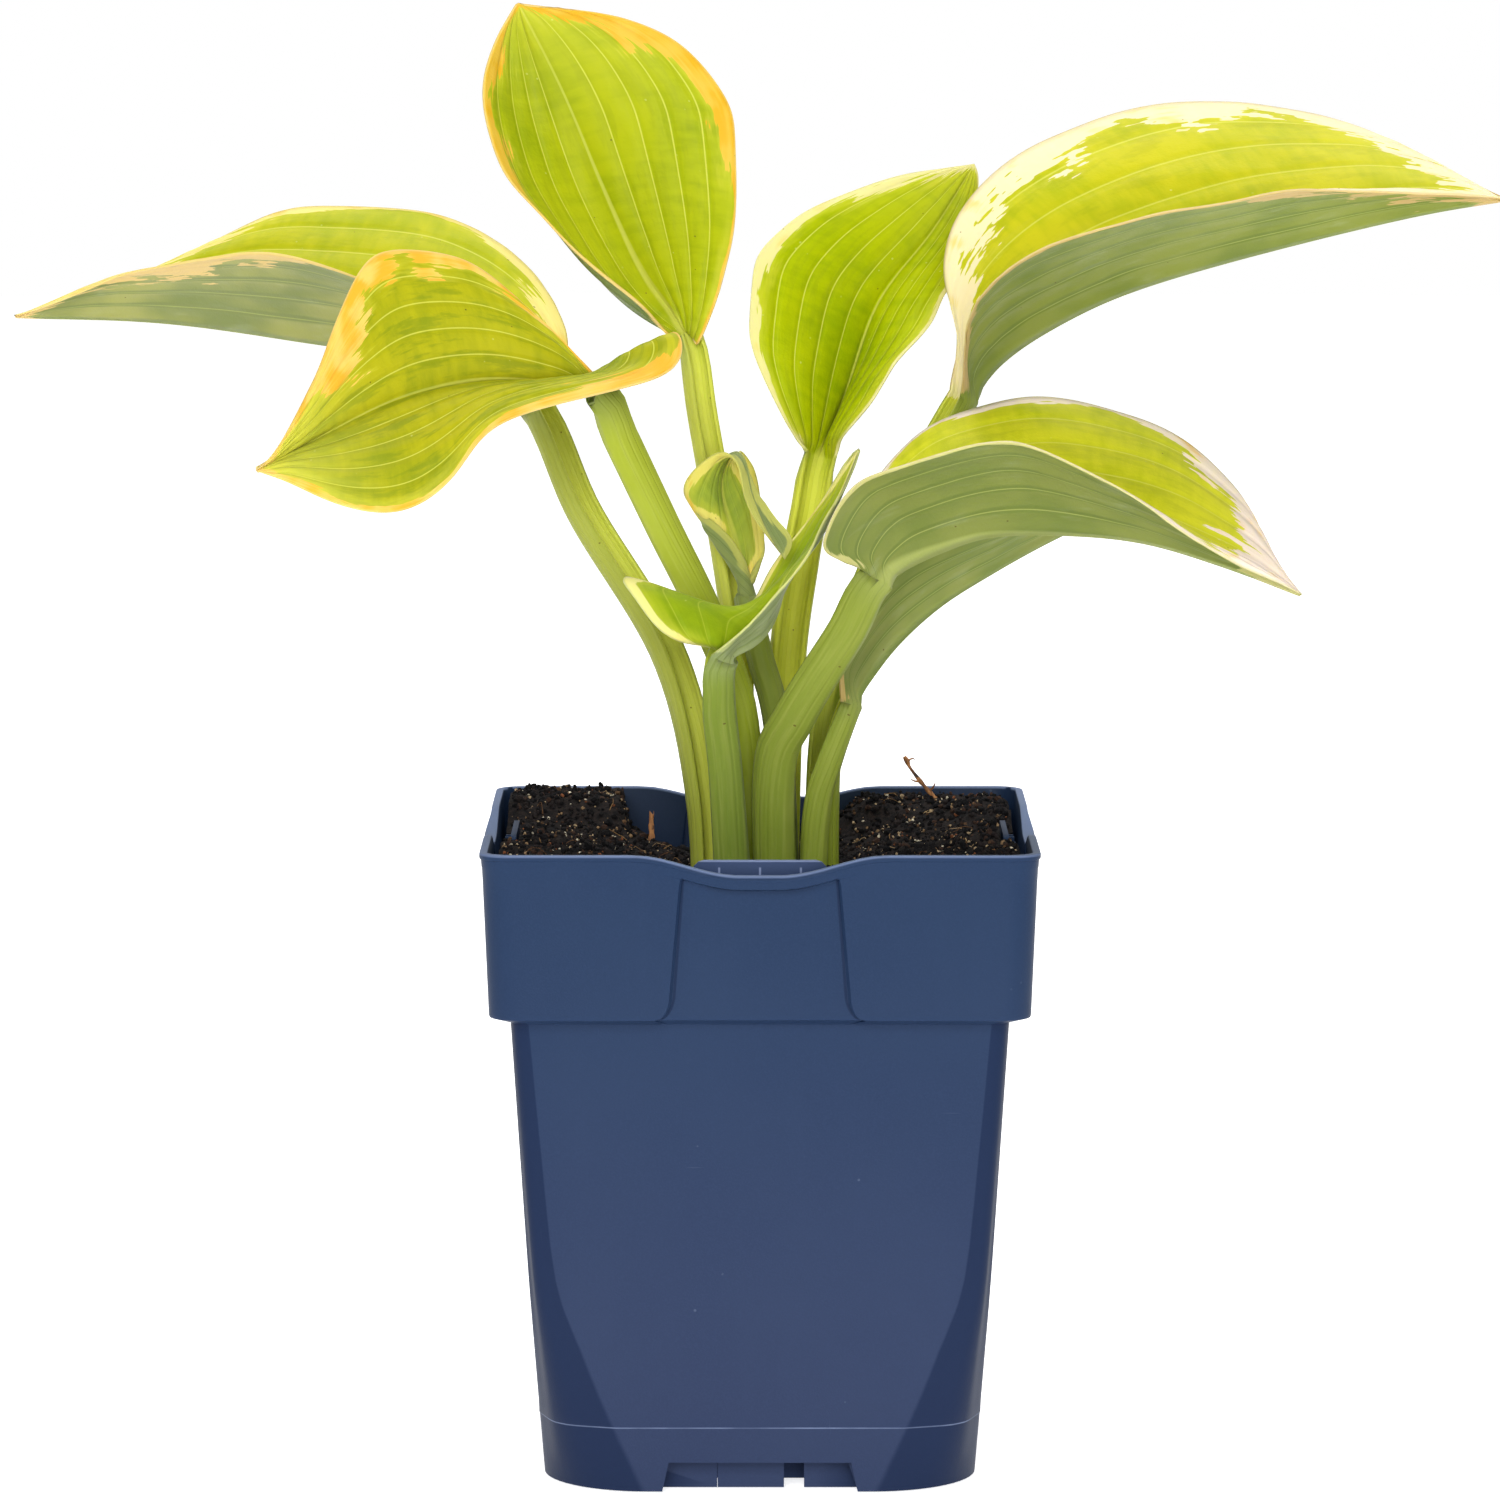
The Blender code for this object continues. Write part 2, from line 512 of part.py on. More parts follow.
LEAVES = (
    Leaf(
        "leaf_far_left",
        ((-10.3, -3.6, 101), (-12, -2.6, 134), (-19, 1, 162), (-36, 6, 190), (-47, 13, 212), (-66, 18, 221),
         (-92, 20, 225), (-122, 20, 229), (-151.5, 18, 230)),
        4, (4.2, 4.4), ((0.3, -0.6, 0.5), (0.4, -0.4, 0.8)),
        ((0.05, -48, 8, 213), (0.1, -49, 2, 220), (0.17, -54, -4, 227), (0.25, -62, -8, 233),
         (0.33, -72, -11, 237), (0.52, -97, -11, 244), (0.67, -113, -6, 243), (0.74, -119, -2, 241),
         (0.82, -128, 4, 239), (0.96, -147, 16, 231)),
        ((0.09, -40, 24, 219), (0.14, -39, 31, 225), (0.27, -47, 42, 238), (0.42, -66, 48, 249),
         (0.58, -90, 46, 251), (0.66, -101, 42, 249), (0.8, -121, 31, 240), (0.94, -142, 21, 232)),
    ),
    Leaf(
        "leaf_front_left",
        ((-2.2, -3, 101), (-3.3, -4.2, 146), (-10, -7.5, 168), (-20, -12, 189), (-28, -16, 206),
         (-32.5, -20, 216), (-43, -25, 219), (-56, -29, 220), (-71, -36, 217), (-86, -44, 210),
         (-98, -51, 204)),
        5, (3.6, 4.8), ((0.1, 1, 0.2), (0.1, 0.5, 1)),
        ((0.02, -26, -18, 220), (0.05, -23, -16, 221), (0.08, -22, -15, 225), (0.14, -16, -18, 230),
         (0.2, -15, -22, 222), (0.235, -21, -26, 220), (0.35, -41, -36, 216), (0.45, -53, -43, 211),
         (0.56, -60, -49, 202), (0.63, -67, -51, 197), (0.71, -75, -53, 196), (0.79, -84, -53, 198),
         (0.88, -92, -53, 202)),
        ((0.07, -32, -21, 220), (0.26, -47, -22, 235), (0.4, -59, -26, 244), (0.54, -73, -32, 246),
         (0.6, -78, -35, 243), (0.73, -84, -42, 230), (0.79, -86, -45, 223), (0.93, -94, -50, 208)),
    ),
    Leaf(
        "leaf_upright",
        ((-6, 6, 101), (-5, 7, 153), (-6, 9, 173), (-12, 12, 209), (-15, 13, 226), (-24, 18, 239),
         (-32, 23, 256), (-40, 25, 275), (-49, 24, 293)),
        4, (3.6, 3.6), ((0.9, -0.5, 0.1), (0.5, -1, 0.3)),
        ((0.08, -18, 12, 226), (0.24, -26, 6, 235), (0.4, -39, 5, 246), (0.54, -50, 9, 257),
         (0.6, -53, 12, 263), (0.72, -56, 18, 275), (0.84, -54, 22, 284)),
        ((0.08, -13, 11, 224), (0.16, -11, 9, 228), (0.32, -7, 10, 239), (0.47, -5, 14, 250),
         (0.65, -5, 20, 268), (0.7, -6, 22, 273), (0.8, -16, 25, 285), (0.9, -31, 26, 291),
         (0.97, -44, 24, 292)),
        (-3.5, 0.5),
    ),
    Leaf(
        "leaf_centre",
        ((3.5, 7.5, 101), (5, 9.5, 155), (8, 11.5, 180), (10, 13, 191), (12, 16, 201), (17, 19, 212),
         (24, 24, 232), (35, 29, 246), (44, 34, 260)),
        4, (4.4, 5.2), ((0.3, -1, 0.2), (0.1, -1, 0.2)),
        ((0.16, 5, 9, 209), (0.32, -1, 6, 223), (0.4, -2, 6, 230), (0.54, -1, 11, 242), (0.6, 3, 15, 246),
         (0.66, 9, 19, 251), (0.78, 22, 27, 256), (0.84, 30, 30, 258)),
        ((0.08, 16, 11, 204), (0.16, 18, 7, 208), (0.24, 23, 6, 214), (0.32, 27, 8, 220),
         (0.48, 35, 17, 229), (0.55, 37, 23, 233), (0.62, 40, 27, 237), (0.78, 44, 33, 247),
         (0.93, 45, 34, 257)),
    ),
    Leaf(
        "leaf_far_right",
        ((13, 0.6, 101), (14, 3.5, 145), (21, 8, 171), (31, 12.5, 193), (42, 14, 213), (49, 12, 222),
         (61, 7, 230), (76, 2, 237), (103, -4, 245), (131, -9, 252), (148.5, -11, 255)),
        4, (4, 4), ((-0.3, -0.5, 0.6), (-0.3, -0.4, 0.9)),
        ((0.15, 40, 15, 228), (0.25, 37, 16, 239), (0.37, 41, 20, 252), (0.5, 56, 28, 264),
         (0.64, 83, 32, 273), (0.78, 111, 27, 271), (0.85, 124, 20, 267), (0.91, 133, 11, 263),
         (0.96, 140, 0, 258)),
        ((0.05, 41, 8, 218), (0.1, 41, 3, 224), (0.2, 43, -11, 235), (0.32, 53, -22, 244),
         (0.45, 70, -28, 251), (0.52, 80, -29, 254), (0.6, 91, -29, 255), (0.68, 103, -27, 257),
         (0.84, 126, -20, 257)),
    ),
    Leaf(
        "leaf_front_right",
        ((4.7, -10.2, 101), (3.7, -12.2, 139), (8, -15, 152), (18, -18, 169), (24, -20, 180),
         (37, -22, 187), (49, -24, 190), (73, -28, 189), (91, -30, 184), (107, -32, 178)),
        4, (5.2, 5.2), ((-0.5, 0.6, 0.5), (-0.3, 0, 1)),
        ((0.05, 22, -16, 186), (0.1, 21, -10, 190), (0.16, 22, -5, 196), (0.29, 29, 2, 205),
         (0.36, 36, 4, 210), (0.5, 55, 8, 214), (0.56, 66, 8, 213), (0.68, 83, 3, 208), (0.8, 96, -7, 196),
         (0.86, 99, -13, 191), (0.91, 101, -19, 185)),
        ((0.06, 17, -26, 184), (0.14, 12, -30, 187), (0.23, 15, -35, 196), (0.28, 19, -38, 201),
         (0.33, 25, -42, 203), (0.43, 42, -47, 209), (0.49, 51, -48, 210), (0.61, 69, -47, 201),
         (0.73, 83, -43, 191), (0.86, 96, -39, 184)),
    ),
    Leaf(
        "leaf_low_right",
        ((10.9, -6.5, 101), (11.8, -6.2, 130), (14.5, -6, 142), (18.6, -5, 153), (22, -5, 159),
         (27.5, -5, 166), (36, -4, 173.5), (45, -3, 179), (56, -1, 185), (67, 1, 190), (81, 2, 195)),
        3, (3, 3.2), ((-0.5, 0.6, 0.5), (-0.3, 0, 1)),
        ((0.06, 21, -2, 156), (0.3, 31, 7, 177), (0.5, 46, 15, 188), (0.6, 55, 16, 191),
         (0.7, 62, 14, 193)),
        ((0.06, 16, -8, 156), (0.18, 17, -10, 168), (0.33, 29, -12, 183), (0.42, 37, -14, 188),
         (0.52, 48, -16, 191), (0.62, 58, -15, 193), (0.82, 71, -8, 195)),
    ),
    Leaf(
        "leaf_young_back",
        ((5.8, 0.4, 101), (3.8, 1.4, 145), (0, 2, 162), (-3, 2, 174), (-4, 4, 181), (-6, 5, 189),
         (-8, 5, 195), (-7, 3, 201), (-5, -1, 204), (-3, -5, 202), (-2, -9, 196), (1, -12, 189),
         (5, -13, 183)),
        3, (3.2, 3.2), ((0, 1, 0.2), (0, 1, 0)),
        ((0.09, -4, 1, 184), (0.14, -7, 3, 187), (0.19, -10, 4, 190), (0.29, -15, 5, 193),
         (0.39, -15, 2, 198), (0.54, -8, -4, 204), (0.65, -4, -8, 201), (0.72, -4, -10, 197),
         (0.8, -1, -12, 191)),
        ((0.06, 0, 3, 181), (0.14, 1, 5, 185), (0.3, 0, 6, 195), (0.38, -1, 4, 200), (0.52, -4, -1, 204),
         (0.66, -2, -7, 198), (0.8, 3, -11, 191), (0.91, 7, -12, 187)),
        (0, 0), 0.2,
    ),
    Leaf(
        "leaf_young_front",
        ((-3.8, -11.4, 101), (-6.5, -14.2, 139), (-8, -18, 157), (-7, -20, 164), (-3, -20, 166),
         (0, -19, 168), (3, -17, 173), (4, -15, 178), (7, -12, 182), (11, -8, 186), (15, -3, 193),
         (20, 4, 204)),
        3, (4.6, 4.2), ((-1, 0.3, 0.1), (-0.45, -0.25, 0.85)),
        ((0.11, -17, -26, 168), (0.15, -21, -27, 171), (0.23, -26, -26, 179), (0.27, -29, -24, 181),
         (0.31, -25, -21, 181), (0.39, -17, -15, 174), (0.47, -9, -12, 167), (0.58, -2, -9, 173),
         (0.7, 2, -5, 181), (0.84, 11, 0, 191), (0.92, 15, 2, 198)),
        ((0.11, -5, -26, 169), (0.3, 2, -25, 176), (0.6, 10, -16, 185), (0.7, 12, -11, 189),
         (0.9, 18, 0, 199)),
        (0, 0), 0.2,
    ),
)


# ---- the soil ----
SOIL_CLEAR = 0.35
SOIL_LEVEL = 119.5
SOIL_HEAP = 6.5  # how much higher it lies towards the corners
HEAP_ACROSS = (14.0, 40.0)  # it rises between these distances from the middle in X
HEAP_ALONG = (8.0, 33.0)  # and between these in Y, from half its height
SOIL_LUMP = 0.8
SOIL_EDGE = 14.0  # half the width over which it stays behind a label pocket
SOIL_TOP_HALF = 51.8
SOIL_CORNER = 6.5
SOIL_FOOT_CORNER = 19.5
SOIL_LEDGE_HALF = 50.6
POCKET_CLEAR_HALF = 48.5
SOIL_SHARES = (0.925, 0.86, 0.77, 0.66, 0.54, 0.42, 0.3, 0.16)
HOLE_FOOT = 0.9
HOLE_CLEAR = GAP + 0.25
HOLE_SIDES = 12
HOLE_TOP = 131.0
WELL = ((1.0, -1.0, 100.4), (1.0, -1.0, HOLE_TOP), 7.0)  # joins the middles of the stem holes
TWIG = ((36.5, 45.0, 123.6), (31.0, 46.0, 134.5), 0.45, 6)
BARK_CHIP = ((-23.0, 33.0, 118.2), (-22.0, 33.6, 125.6), 1.0, 4)


def soil_height(x, y):
    """The soil lies low around the stems and is heaped up beside them, most of all towards the corners."""
    across = smooth((abs(x) - HEAP_ACROSS[0]) / (HEAP_ACROSS[1] - HEAP_ACROSS[0]))
    along = smooth((abs(y) - HEAP_ALONG[0]) / (HEAP_ALONG[1] - HEAP_ALONG[0]))
    return SOIL_LEVEL + SOIL_HEAP * across * lerp(0.5, 1.0, along)


def soil_rings():
    """The outside of the soil from the pot's floor up to the foot of its open surface."""
    inside = WALL + SOIL_CLEAR
    rings = [ring_at(SKIRT + WALL + GAP, body_half(SKIRT) - inside, SOIL_FOOT_CORNER, SOIL_EDGE)]
    for z, corner in (BODY_CORNERS[1], BODY_CORNERS[3], BODY_CORNERS[5], (BODY_TOP + 0.8, 3.8)):
        rings.append(ring_at(z, body_half(min(z, BODY_TOP)) - inside, corner, SOIL_EDGE))
    ledge = panel_recess(SOIL_EDGE, SOIL_LEDGE_HALF - POCKET_CLEAR_HALF)
    rings.append(ring_at(BODY_TOP + 3.7, SOIL_LEDGE_HALF, SOIL_CORNER, SOIL_EDGE, ledge))
    brim = panel_recess(SOIL_EDGE, SOIL_TOP_HALF - POCKET_CLEAR_HALF)
    top = ring_at(0, SOIL_TOP_HALF, SOIL_CORNER, SOIL_EDGE, brim)
    rings.append([(x, y, soil_height(x, y) - 0.6) for x, y, _ in top])
    return rings


def soil_surface():
    """Rings that shrink towards the middle of the soil, with lumps."""
    random.seed(7)
    brim = ring_at(0, SOIL_TOP_HALF, SOIL_CORNER, SOIL_EDGE)
    rings = []
    for share in SOIL_SHARES:
        ring = []
        for x, y, _ in brim:
            x0, y0 = x * share, y * share
            ring.append((x0, y0, soil_height(x0, y0) + random.uniform(-SOIL_LUMP, SOIL_LUMP)))
        rings.append(ring)
    return rings


def add_tube(bm, centers, radii, sides):
    """A closed tube through centers, with level rings."""
    rings = []
    for (x, y, z), radius in zip(centers, radii):
        angles = [2 * math.pi * k / sides for k in range(sides)]
        rings.append([bm.verts.new((x + radius * math.cos(a), y + radius * math.sin(a), z)) for a in angles])
    for low, high in zip(rings, rings[1:]):
        bridge(bm, low, high)
    bm.faces.new(rings[0])
    bm.faces.new(rings[-1])


def stem_hole(leaf):
    """A plain round hole that follows a petiole up through the soil."""
    upper, t, row = leaf_grid(leaf, PETIOLE_ROWS, BLADE_ROWS, LEAF_COLUMNS)
    lower = upper - grid_normals(upper) * leaf_thickness(leaf, t, row)[..., None]
    centers, radii = [], []
    for top, under in zip(upper, lower):
        outline = np.vstack((top, under))
        center = (outline.max(axis=0) + outline.min(axis=0)) / 2
        if centers and centers[-1][2] > HOLE_TOP - 8:
            break
        centers.append(tuple(center))
        radii.append(float(np.linalg.norm((outline - center)[:, :2], axis=1).max()) + HOLE_CLEAR)
    x, y, z = centers[0]
    centers[0] = (x, y, z - HOLE_FOOT)
    bm = bmesh.new()
    add_tube(bm, centers, radii, HOLE_SIDES)
    return bm


def stick(start, end, radius, sides):
    bm = bmesh.new()
    add_tube(bm, (start, end), (radius, radius * 0.7), sides)
    return bm


def stick_hole(start, end, radius, sides):
    """The hole for a stick, a little wider and deeper."""
    below = tuple(a - (b - a) * 0.1 for a, b in zip(start, end))
    bm = bmesh.new()
    add_tube(bm, (below, end), (radius + 0.5, radius + 0.5), sides)
    return bm


def make_soil():
    bm = bmesh.new()
    rings = [add_ring(bm, ring) for ring in soil_rings() + soil_surface()]
    for low, high in zip(rings, rings[1:]):
        bridge(bm, low, high)
    cap(bm, rings[0], SKIRT + WALL + GAP, False)
    cap(bm, rings[-1], SOIL_LEVEL, True)
    peat = new_material("peat", (0.03, 0.022, 0.016), 0.95)
    soil = new_object("soil", bm, peat)
    holes = [stem_hole(leaf) for leaf in LEAVES]
    well = bmesh.new()
    add_tube(well, WELL[:2], (WELL[2], WELL[2]), HOLE_SIDES)
    holes += [well, stick_hole(*TWIG), stick_hole(*BARK_CHIP)]
    for number, hole in enumerate(holes):
        boolean(soil, new_object(f"soil_hole_{number}_helper", hole, peat), "DIFFERENCE")


def make_debris():
    wood = new_material("twig_wood", (0.35, 0.24, 0.13), 0.8)
    new_object("twig", stick(*TWIG), wood)
    bark = new_material("bark", (0.45, 0.3, 0.16), 0.85)
    new_object("bark_chip", stick(*BARK_CHIP), bark)


def clear_scene():
    for item in list(bpy.data.objects):
        bpy.data.objects.remove(item, do_unlink=True)


def make_leaf(leaf):
    bm = bmesh.new()
    add_leaf(bm, leaf)
    green = new_material(leaf.name, (0.36, 0.5, 0.05), 0.5)
    return new_object(leaf.name, bm, green)


def main():
    clear_scene()
    make_pot()
    make_soil()
    make_debris()
    for leaf in LEAVES:
        make_leaf(leaf)


main()
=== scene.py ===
"""The looks of the potted hosta: fine leaves, a moulded pot, peat with its grit, a twig and a bark chip.

Lengths are in millimetres and become metres when a mesh is made, as in the part's source.
"""

import math
from dataclasses import dataclass

import bmesh
import bpy
import numpy as np
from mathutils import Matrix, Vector, noise


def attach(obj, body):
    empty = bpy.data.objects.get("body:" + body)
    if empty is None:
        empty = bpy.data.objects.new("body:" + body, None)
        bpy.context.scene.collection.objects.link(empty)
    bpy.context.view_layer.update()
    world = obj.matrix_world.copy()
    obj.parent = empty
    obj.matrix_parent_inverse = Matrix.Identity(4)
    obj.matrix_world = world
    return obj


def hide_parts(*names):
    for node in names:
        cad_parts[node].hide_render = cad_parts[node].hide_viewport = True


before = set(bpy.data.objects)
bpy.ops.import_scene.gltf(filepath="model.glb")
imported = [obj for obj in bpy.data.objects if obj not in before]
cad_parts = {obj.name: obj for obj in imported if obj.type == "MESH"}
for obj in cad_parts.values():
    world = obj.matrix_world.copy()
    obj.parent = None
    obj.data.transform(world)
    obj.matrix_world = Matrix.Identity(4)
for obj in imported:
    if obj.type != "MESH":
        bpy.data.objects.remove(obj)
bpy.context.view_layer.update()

MM = 0.001
GAP = 0.3  # the clearance between two pieces that touch
ALBEDO = 0.8  # how much of a colour's brightness is the surface's own; the studio's light gives the rest
POT_ALBEDO = 1.0

# ---- the pot ----
RIM_HALF = 55.0  # half of the 110 mm square rim
RIM_HEIGHT = 129.0
RIM_CORNER = 5.5
COLLAR_FOOT = 96.0  # where the wide collar begins
COLLAR_FOOT_HALF = 53.3
BODY_TOP_HALF = 49.1
BODY_FOOT_HALF = 43.3
BODY_TOP = COLLAR_FOOT - 1.2
WALL = 1.2
SKIRT = 6.0  # the floor's underside stands this high above the ground
DIP = 3.9  # how far the rim dips in the middle of each side
DIP_OUTER = 25.0
DIP_INNER = 4.0
PANEL_RECESS = 1.0  # the middle panel lies behind the corner panels
PANEL_TOP_HALF = 14.7
PANEL_FOOT_HALF = 17.2
PANEL_FLARE_HALF = 20.2  # its rounded lower corners flare out to this at the collar's foot
PANEL_FLARE_HEIGHT = 5.0
PANEL_STEP = 0.6
CUTOUT_TOP_HALF = 17.5
CUTOUT_FOOT_HALF = 18.8
LIP_DROP = 2.7
LIP_BULGE = 1.1
BEAD = 0.4
# corner radius of the body at some heights: the corners open into cones towards the foot
BODY_CORNERS = ((0.0, 21.0), (15.8, 14.5), (28.7, 10.0), (43.0, 5.8), (68.0, 4.6), (BODY_TOP, 3.8))
CORNER_STEPS = 14
SIDE_COLUMNS = (0.0, 2.4, 4.8, 7.2, 9.6, 12.0)  # columns of the mesh across half of the middle panel
SHOULDER_COLUMNS = (0.05, 0.12, 0.2, 0.3, 0.4, 0.52, 0.66, 0.82)  # and from it to the corner, as shares
FLOOR_CORNER = 18.5  # corner radii above the floor and below it
SKIRT_CORNER = 18.3
LINE_HALF = 0.16  # half the width of the shadow line beside each corner panel
SEAM = 13.0  # a fine moulding line around the foot
SEAM_HALF = 0.15
SEAM_RIDGE = 0.09  # how far the wall stands out just above it
SEAM_RIDGE_TOP = 14.0
CONE_TOP = 90.0  # the corners are flattened below this height
CONE_DEPTH = 0.55
BODY_HEIGHTS = (5.9, 9.0, 12.6, SEAM - SEAM_HALF, SEAM + SEAM_HALF, 15.8, 19.0, 22.0, 25.5, 28.7, 33.0, 38.0,
                43.0, 50.0, 59.0, 68.0, 78.0, 88.0, BODY_TOP)
COLLAR_RISES = (0.5, 1.2, 2.0, 3.0, 4.0, 5.0, 10.0, 16.0, 22.0, 27.0)  # rings of the collar above its foot
COLLAR_EDGE = 5.0  # the collar's wall is upright up to here and then leans out to the rim
COLLAR_OUT = 0.2
COLLAR_CORNER = 6.2
COLLAR_INNER_CORNER = 5.0
RIM_EDGE = PANEL_TOP_HALF + 0.3
# the rolled rim: out from its half width, off its corner radius, share of the lip's bulge, recess, drop
RIM_RINGS = (
    (-0.5, 0, 0, PANEL_RECESS, LIP_DROP + 0.5), (-0.4, 0, 1, 0, LIP_DROP), (-0.3, 0, 1, 0, 1.3),
    (-0.06, 0, 0.9, 0, 1.15), (0, 0, 0.9, 0, 0.9), (0, 0, 0.7, 0, 0.3), (-0.12, 0, 0.6, 0, 0.08),
    (-0.35, 0, 0.5, 0, 0), (-1.15, 0, 0.3, 0, 0), (-1.48, 0.9, 0, 0, 0.12), (-1.6, 1, 0, 0, 0.4),
)

# ---- the label pocket inside each side ----
TONGUE_HALF = 13.3
TONGUE_TOP = RIM_HEIGHT - 1.6
TONGUE_FOOT = 99.0
TONGUE_FACE = 50.0  # the face towards the collar
TONGUE_THICK = 1.1
TONGUE_CORNER = 2.4
POCKET_RIBS = (-8.0, 0.0, 8.0)
POCKET_RIB = 0.7

# ---- the plates and ribs under the floor ----
# from and to in X; two of them nearly meet, because boxes of one helper that overlap would spoil the union
FOOT_PLATES = ((-30.0, -8.5), (-8.4, 4.8), (8.8, 30.0))
FOOT_PLATE_OUT = 39.2
FOOT_PLATE_THICK = 1.4
# The foot ribs are dark sheets behind the slits between the plates; they stand in for the shade seen through
# the slits.
FOOT_RIB_HALF = 26.0  # the ribs close the view between the plates
FOOT_RIB_OUT = 33.0
FOOT_RIB_THICK = 1.2
FOOT_RIB_FOOT = 0.5


def lerp(a, b, t):
    return a + (b - a) * t


def ease(x):
    x = np.clip(x, 0, 1)
    return x * x * (3 - 2 * x)


def smoothstep(x, low, high):
    return ease((x - low) / (high - low))


def unit(v):
    return v / np.maximum(np.linalg.norm(v, axis=-1, keepdims=True), 1e-9)


def spline(points, at):
    """A Catmull-Rom curve through points, at parameters from 0 to 1."""
    p = np.array(points, float)
    p = np.vstack((2 * p[0] - p[1], p, 2 * p[-1] - p[-2]))
    x = np.clip(np.asarray(at, float), 0, 1) * (len(points) - 1)
    i = np.minimum(x.astype(int), len(points) - 2)
    t = (x - i)[:, None]
    a, b, c, d = p[i], p[i + 1], p[i + 2], p[i + 3]
    return 0.5 * (2 * b + (c - a) * t + (2 * a - 5 * b + 4 * c - d) * t**2 + (3 * b - a - 3 * c + d) * t**3)


def body_half(z):
    return lerp(BODY_FOOT_HALF, BODY_TOP_HALF, z / BODY_TOP)


def cone_corner(z):
    """The body's corner radius at a height, on one smooth curve."""
    curve = spline(BODY_CORNERS, np.linspace(0, 1, 80))
    return float(np.interp(z, curve[:, 0], curve[:, 1]))


def rim_dip(u):
    """How far the rim lies below its corners at a distance u from a side's middle."""
    return DIP * ease((DIP_OUTER - abs(u)) / (DIP_OUTER - DIP_INNER))


def panel_edge(z):
    """Half the width of the middle panel in the collar, and of the cutout at the foot."""
    if z <= SKIRT:
        return lerp(CUTOUT_FOOT_HALF, CUTOUT_TOP_HALF, z / SKIRT)
    if z <= BODY_TOP:
        return CUTOUT_TOP_HALF
    low = COLLAR_FOOT + PANEL_FLARE_HEIGHT
    if z < low:
        return lerp(PANEL_FLARE_HALF, PANEL_FOOT_HALF, (z - COLLAR_FOOT) / PANEL_FLARE_HEIGHT)
    return lerp(PANEL_FOOT_HALF, PANEL_TOP_HALF, (z - low) / (RIM_HEIGHT - low))


def fine_panel_edge(z):
    """As panel_edge, with the corner panels' lower corners rounded."""
    if BODY_TOP < z < COLLAR_FOOT + PANEL_FLARE_HEIGHT:
        fall = 1 - (z - COLLAR_FOOT) / PANEL_FLARE_HEIGHT
        flare = PANEL_FLARE_HALF - PANEL_FOOT_HALF
        return PANEL_FOOT_HALF + flare * (1 - math.sqrt(max(1 - fall * fall, 0)))
    return panel_edge(z)


def side_columns(half, corner, edge):
    """Distances from a side's middle, from its left end to its right end."""
    inner = [u for u in SIDE_COLUMNS if u < edge - 1.0]
    flat = half - corner
    outer_edge = min(edge + PANEL_STEP, flat - 0.6)
    right = inner + [edge, outer_edge] + [lerp(outer_edge, flat, s) for s in SHOULDER_COLUMNS] + [flat]
    return [-u for u in reversed(right[1:])] + right


def square_ring(half, corner, edge, shape=None):
    """A rounded square as a closed list of points (x, y, side distance), counter-clockwise from the front.

    shape(u) moves the points of a side outwards.
    """
    points = []
    for quarter in range(4):
        turn = math.radians(90 * quarter)
        cos, sin = math.cos(turn), math.sin(turn)
        row = []
        for u in side_columns(half, corner, edge):
            out = shape(u) if shape else 0.0
            row.append((u, -half - out, u))
        for step in range(1, CORNER_STEPS):
            a = math.radians(90 * step / CORNER_STEPS)
            x = half - corner + corner * math.sin(a)
            y = -(half - corner) - corner * math.cos(a)
            row.append((x, y, RIM_HALF))
        points += [(x * cos - y * sin, x * sin + y * cos, u) for x, y, u in row]
    return points


def ring_at(z, half, corner, edge=None, shape=None, height=None):
    """The points of a ring in 3-D. height(u) gives each point's own height instead of z."""
    edge = panel_edge(z) if edge is None else edge
    ring = square_ring(half, corner, edge, shape)
    return [(x, y, height(u) if height else z) for x, y, u in ring]


def panel_recess(edge, depth):
    return lambda u: -depth if abs(u) <= edge + 0.01 else 0.0


def lip_shape(edge, bulge, recess=0.0):
    """The rolled lip swells outwards in the middle of each side."""
    return lambda u: bulge * ease((edge + 6 - abs(u)) / 12) - (recess if abs(u) <= edge + 0.01 else 0.0)


def cutout_height(u):
    return SKIRT - 0.1 if abs(u) <= CUTOUT_FOOT_HALF + 0.01 else 0.0


def coned(ring, z):
    """Flattens a ring's corners a little, so that the cones at the foot meet the sides in a crease."""
    corner, half = cone_corner(z), body_half(z)
    depth = CONE_DEPTH * ease((CONE_TOP - z) / CONE_TOP) + 0.05
    points = []
    for x, y, height in ring:
        run = min((min(abs(x), abs(y)) - (half - corner)) / corner, 1.0)
        pull = 1 - depth * math.sin(math.pi * min(run / 0.6, 1.0)) / half if run > 0.01 else 1.0
        points.append((x * pull, y * pull, height))
    return points


# ---- building meshes ----


def add_ring(bm, points):
    return [bm.verts.new(p) for p in points]


def around(count):
    """Each index of a closed ring with the next one."""
    return [(i, (i + 1) % count) for i in range(count)]


def bridge(bm, low, high):
    """Quads between two rings of equal length."""
    for i, j in around(len(low)):
        bm.faces.new((low[i], low[j], high[j], high[i]))


def cap(bm, ring, z, upwards):
    """Closes a ring with triangles around a middle point."""
    middle = bm.verts.new((0.0, 0.0, z))
    for i, j in around(len(ring)):
        bm.faces.new((ring[i], ring[j], middle) if upwards else (ring[j], ring[i], middle))


def add_stack(bm, outlines):
    """A wall through several closed outlines, from the first one up to the last one."""
    rings = [add_ring(bm, outline) for outline in outlines]
    for low, high in zip(rings, rings[1:]):
        bridge(bm, low, high)
    return rings[0], rings[-1]


def link_object(name, mesh, material):
    mesh.materials.append(material)
    piece = bpy.data.objects.new(name, mesh)
    bpy.context.scene.collection.objects.link(piece)
    return piece


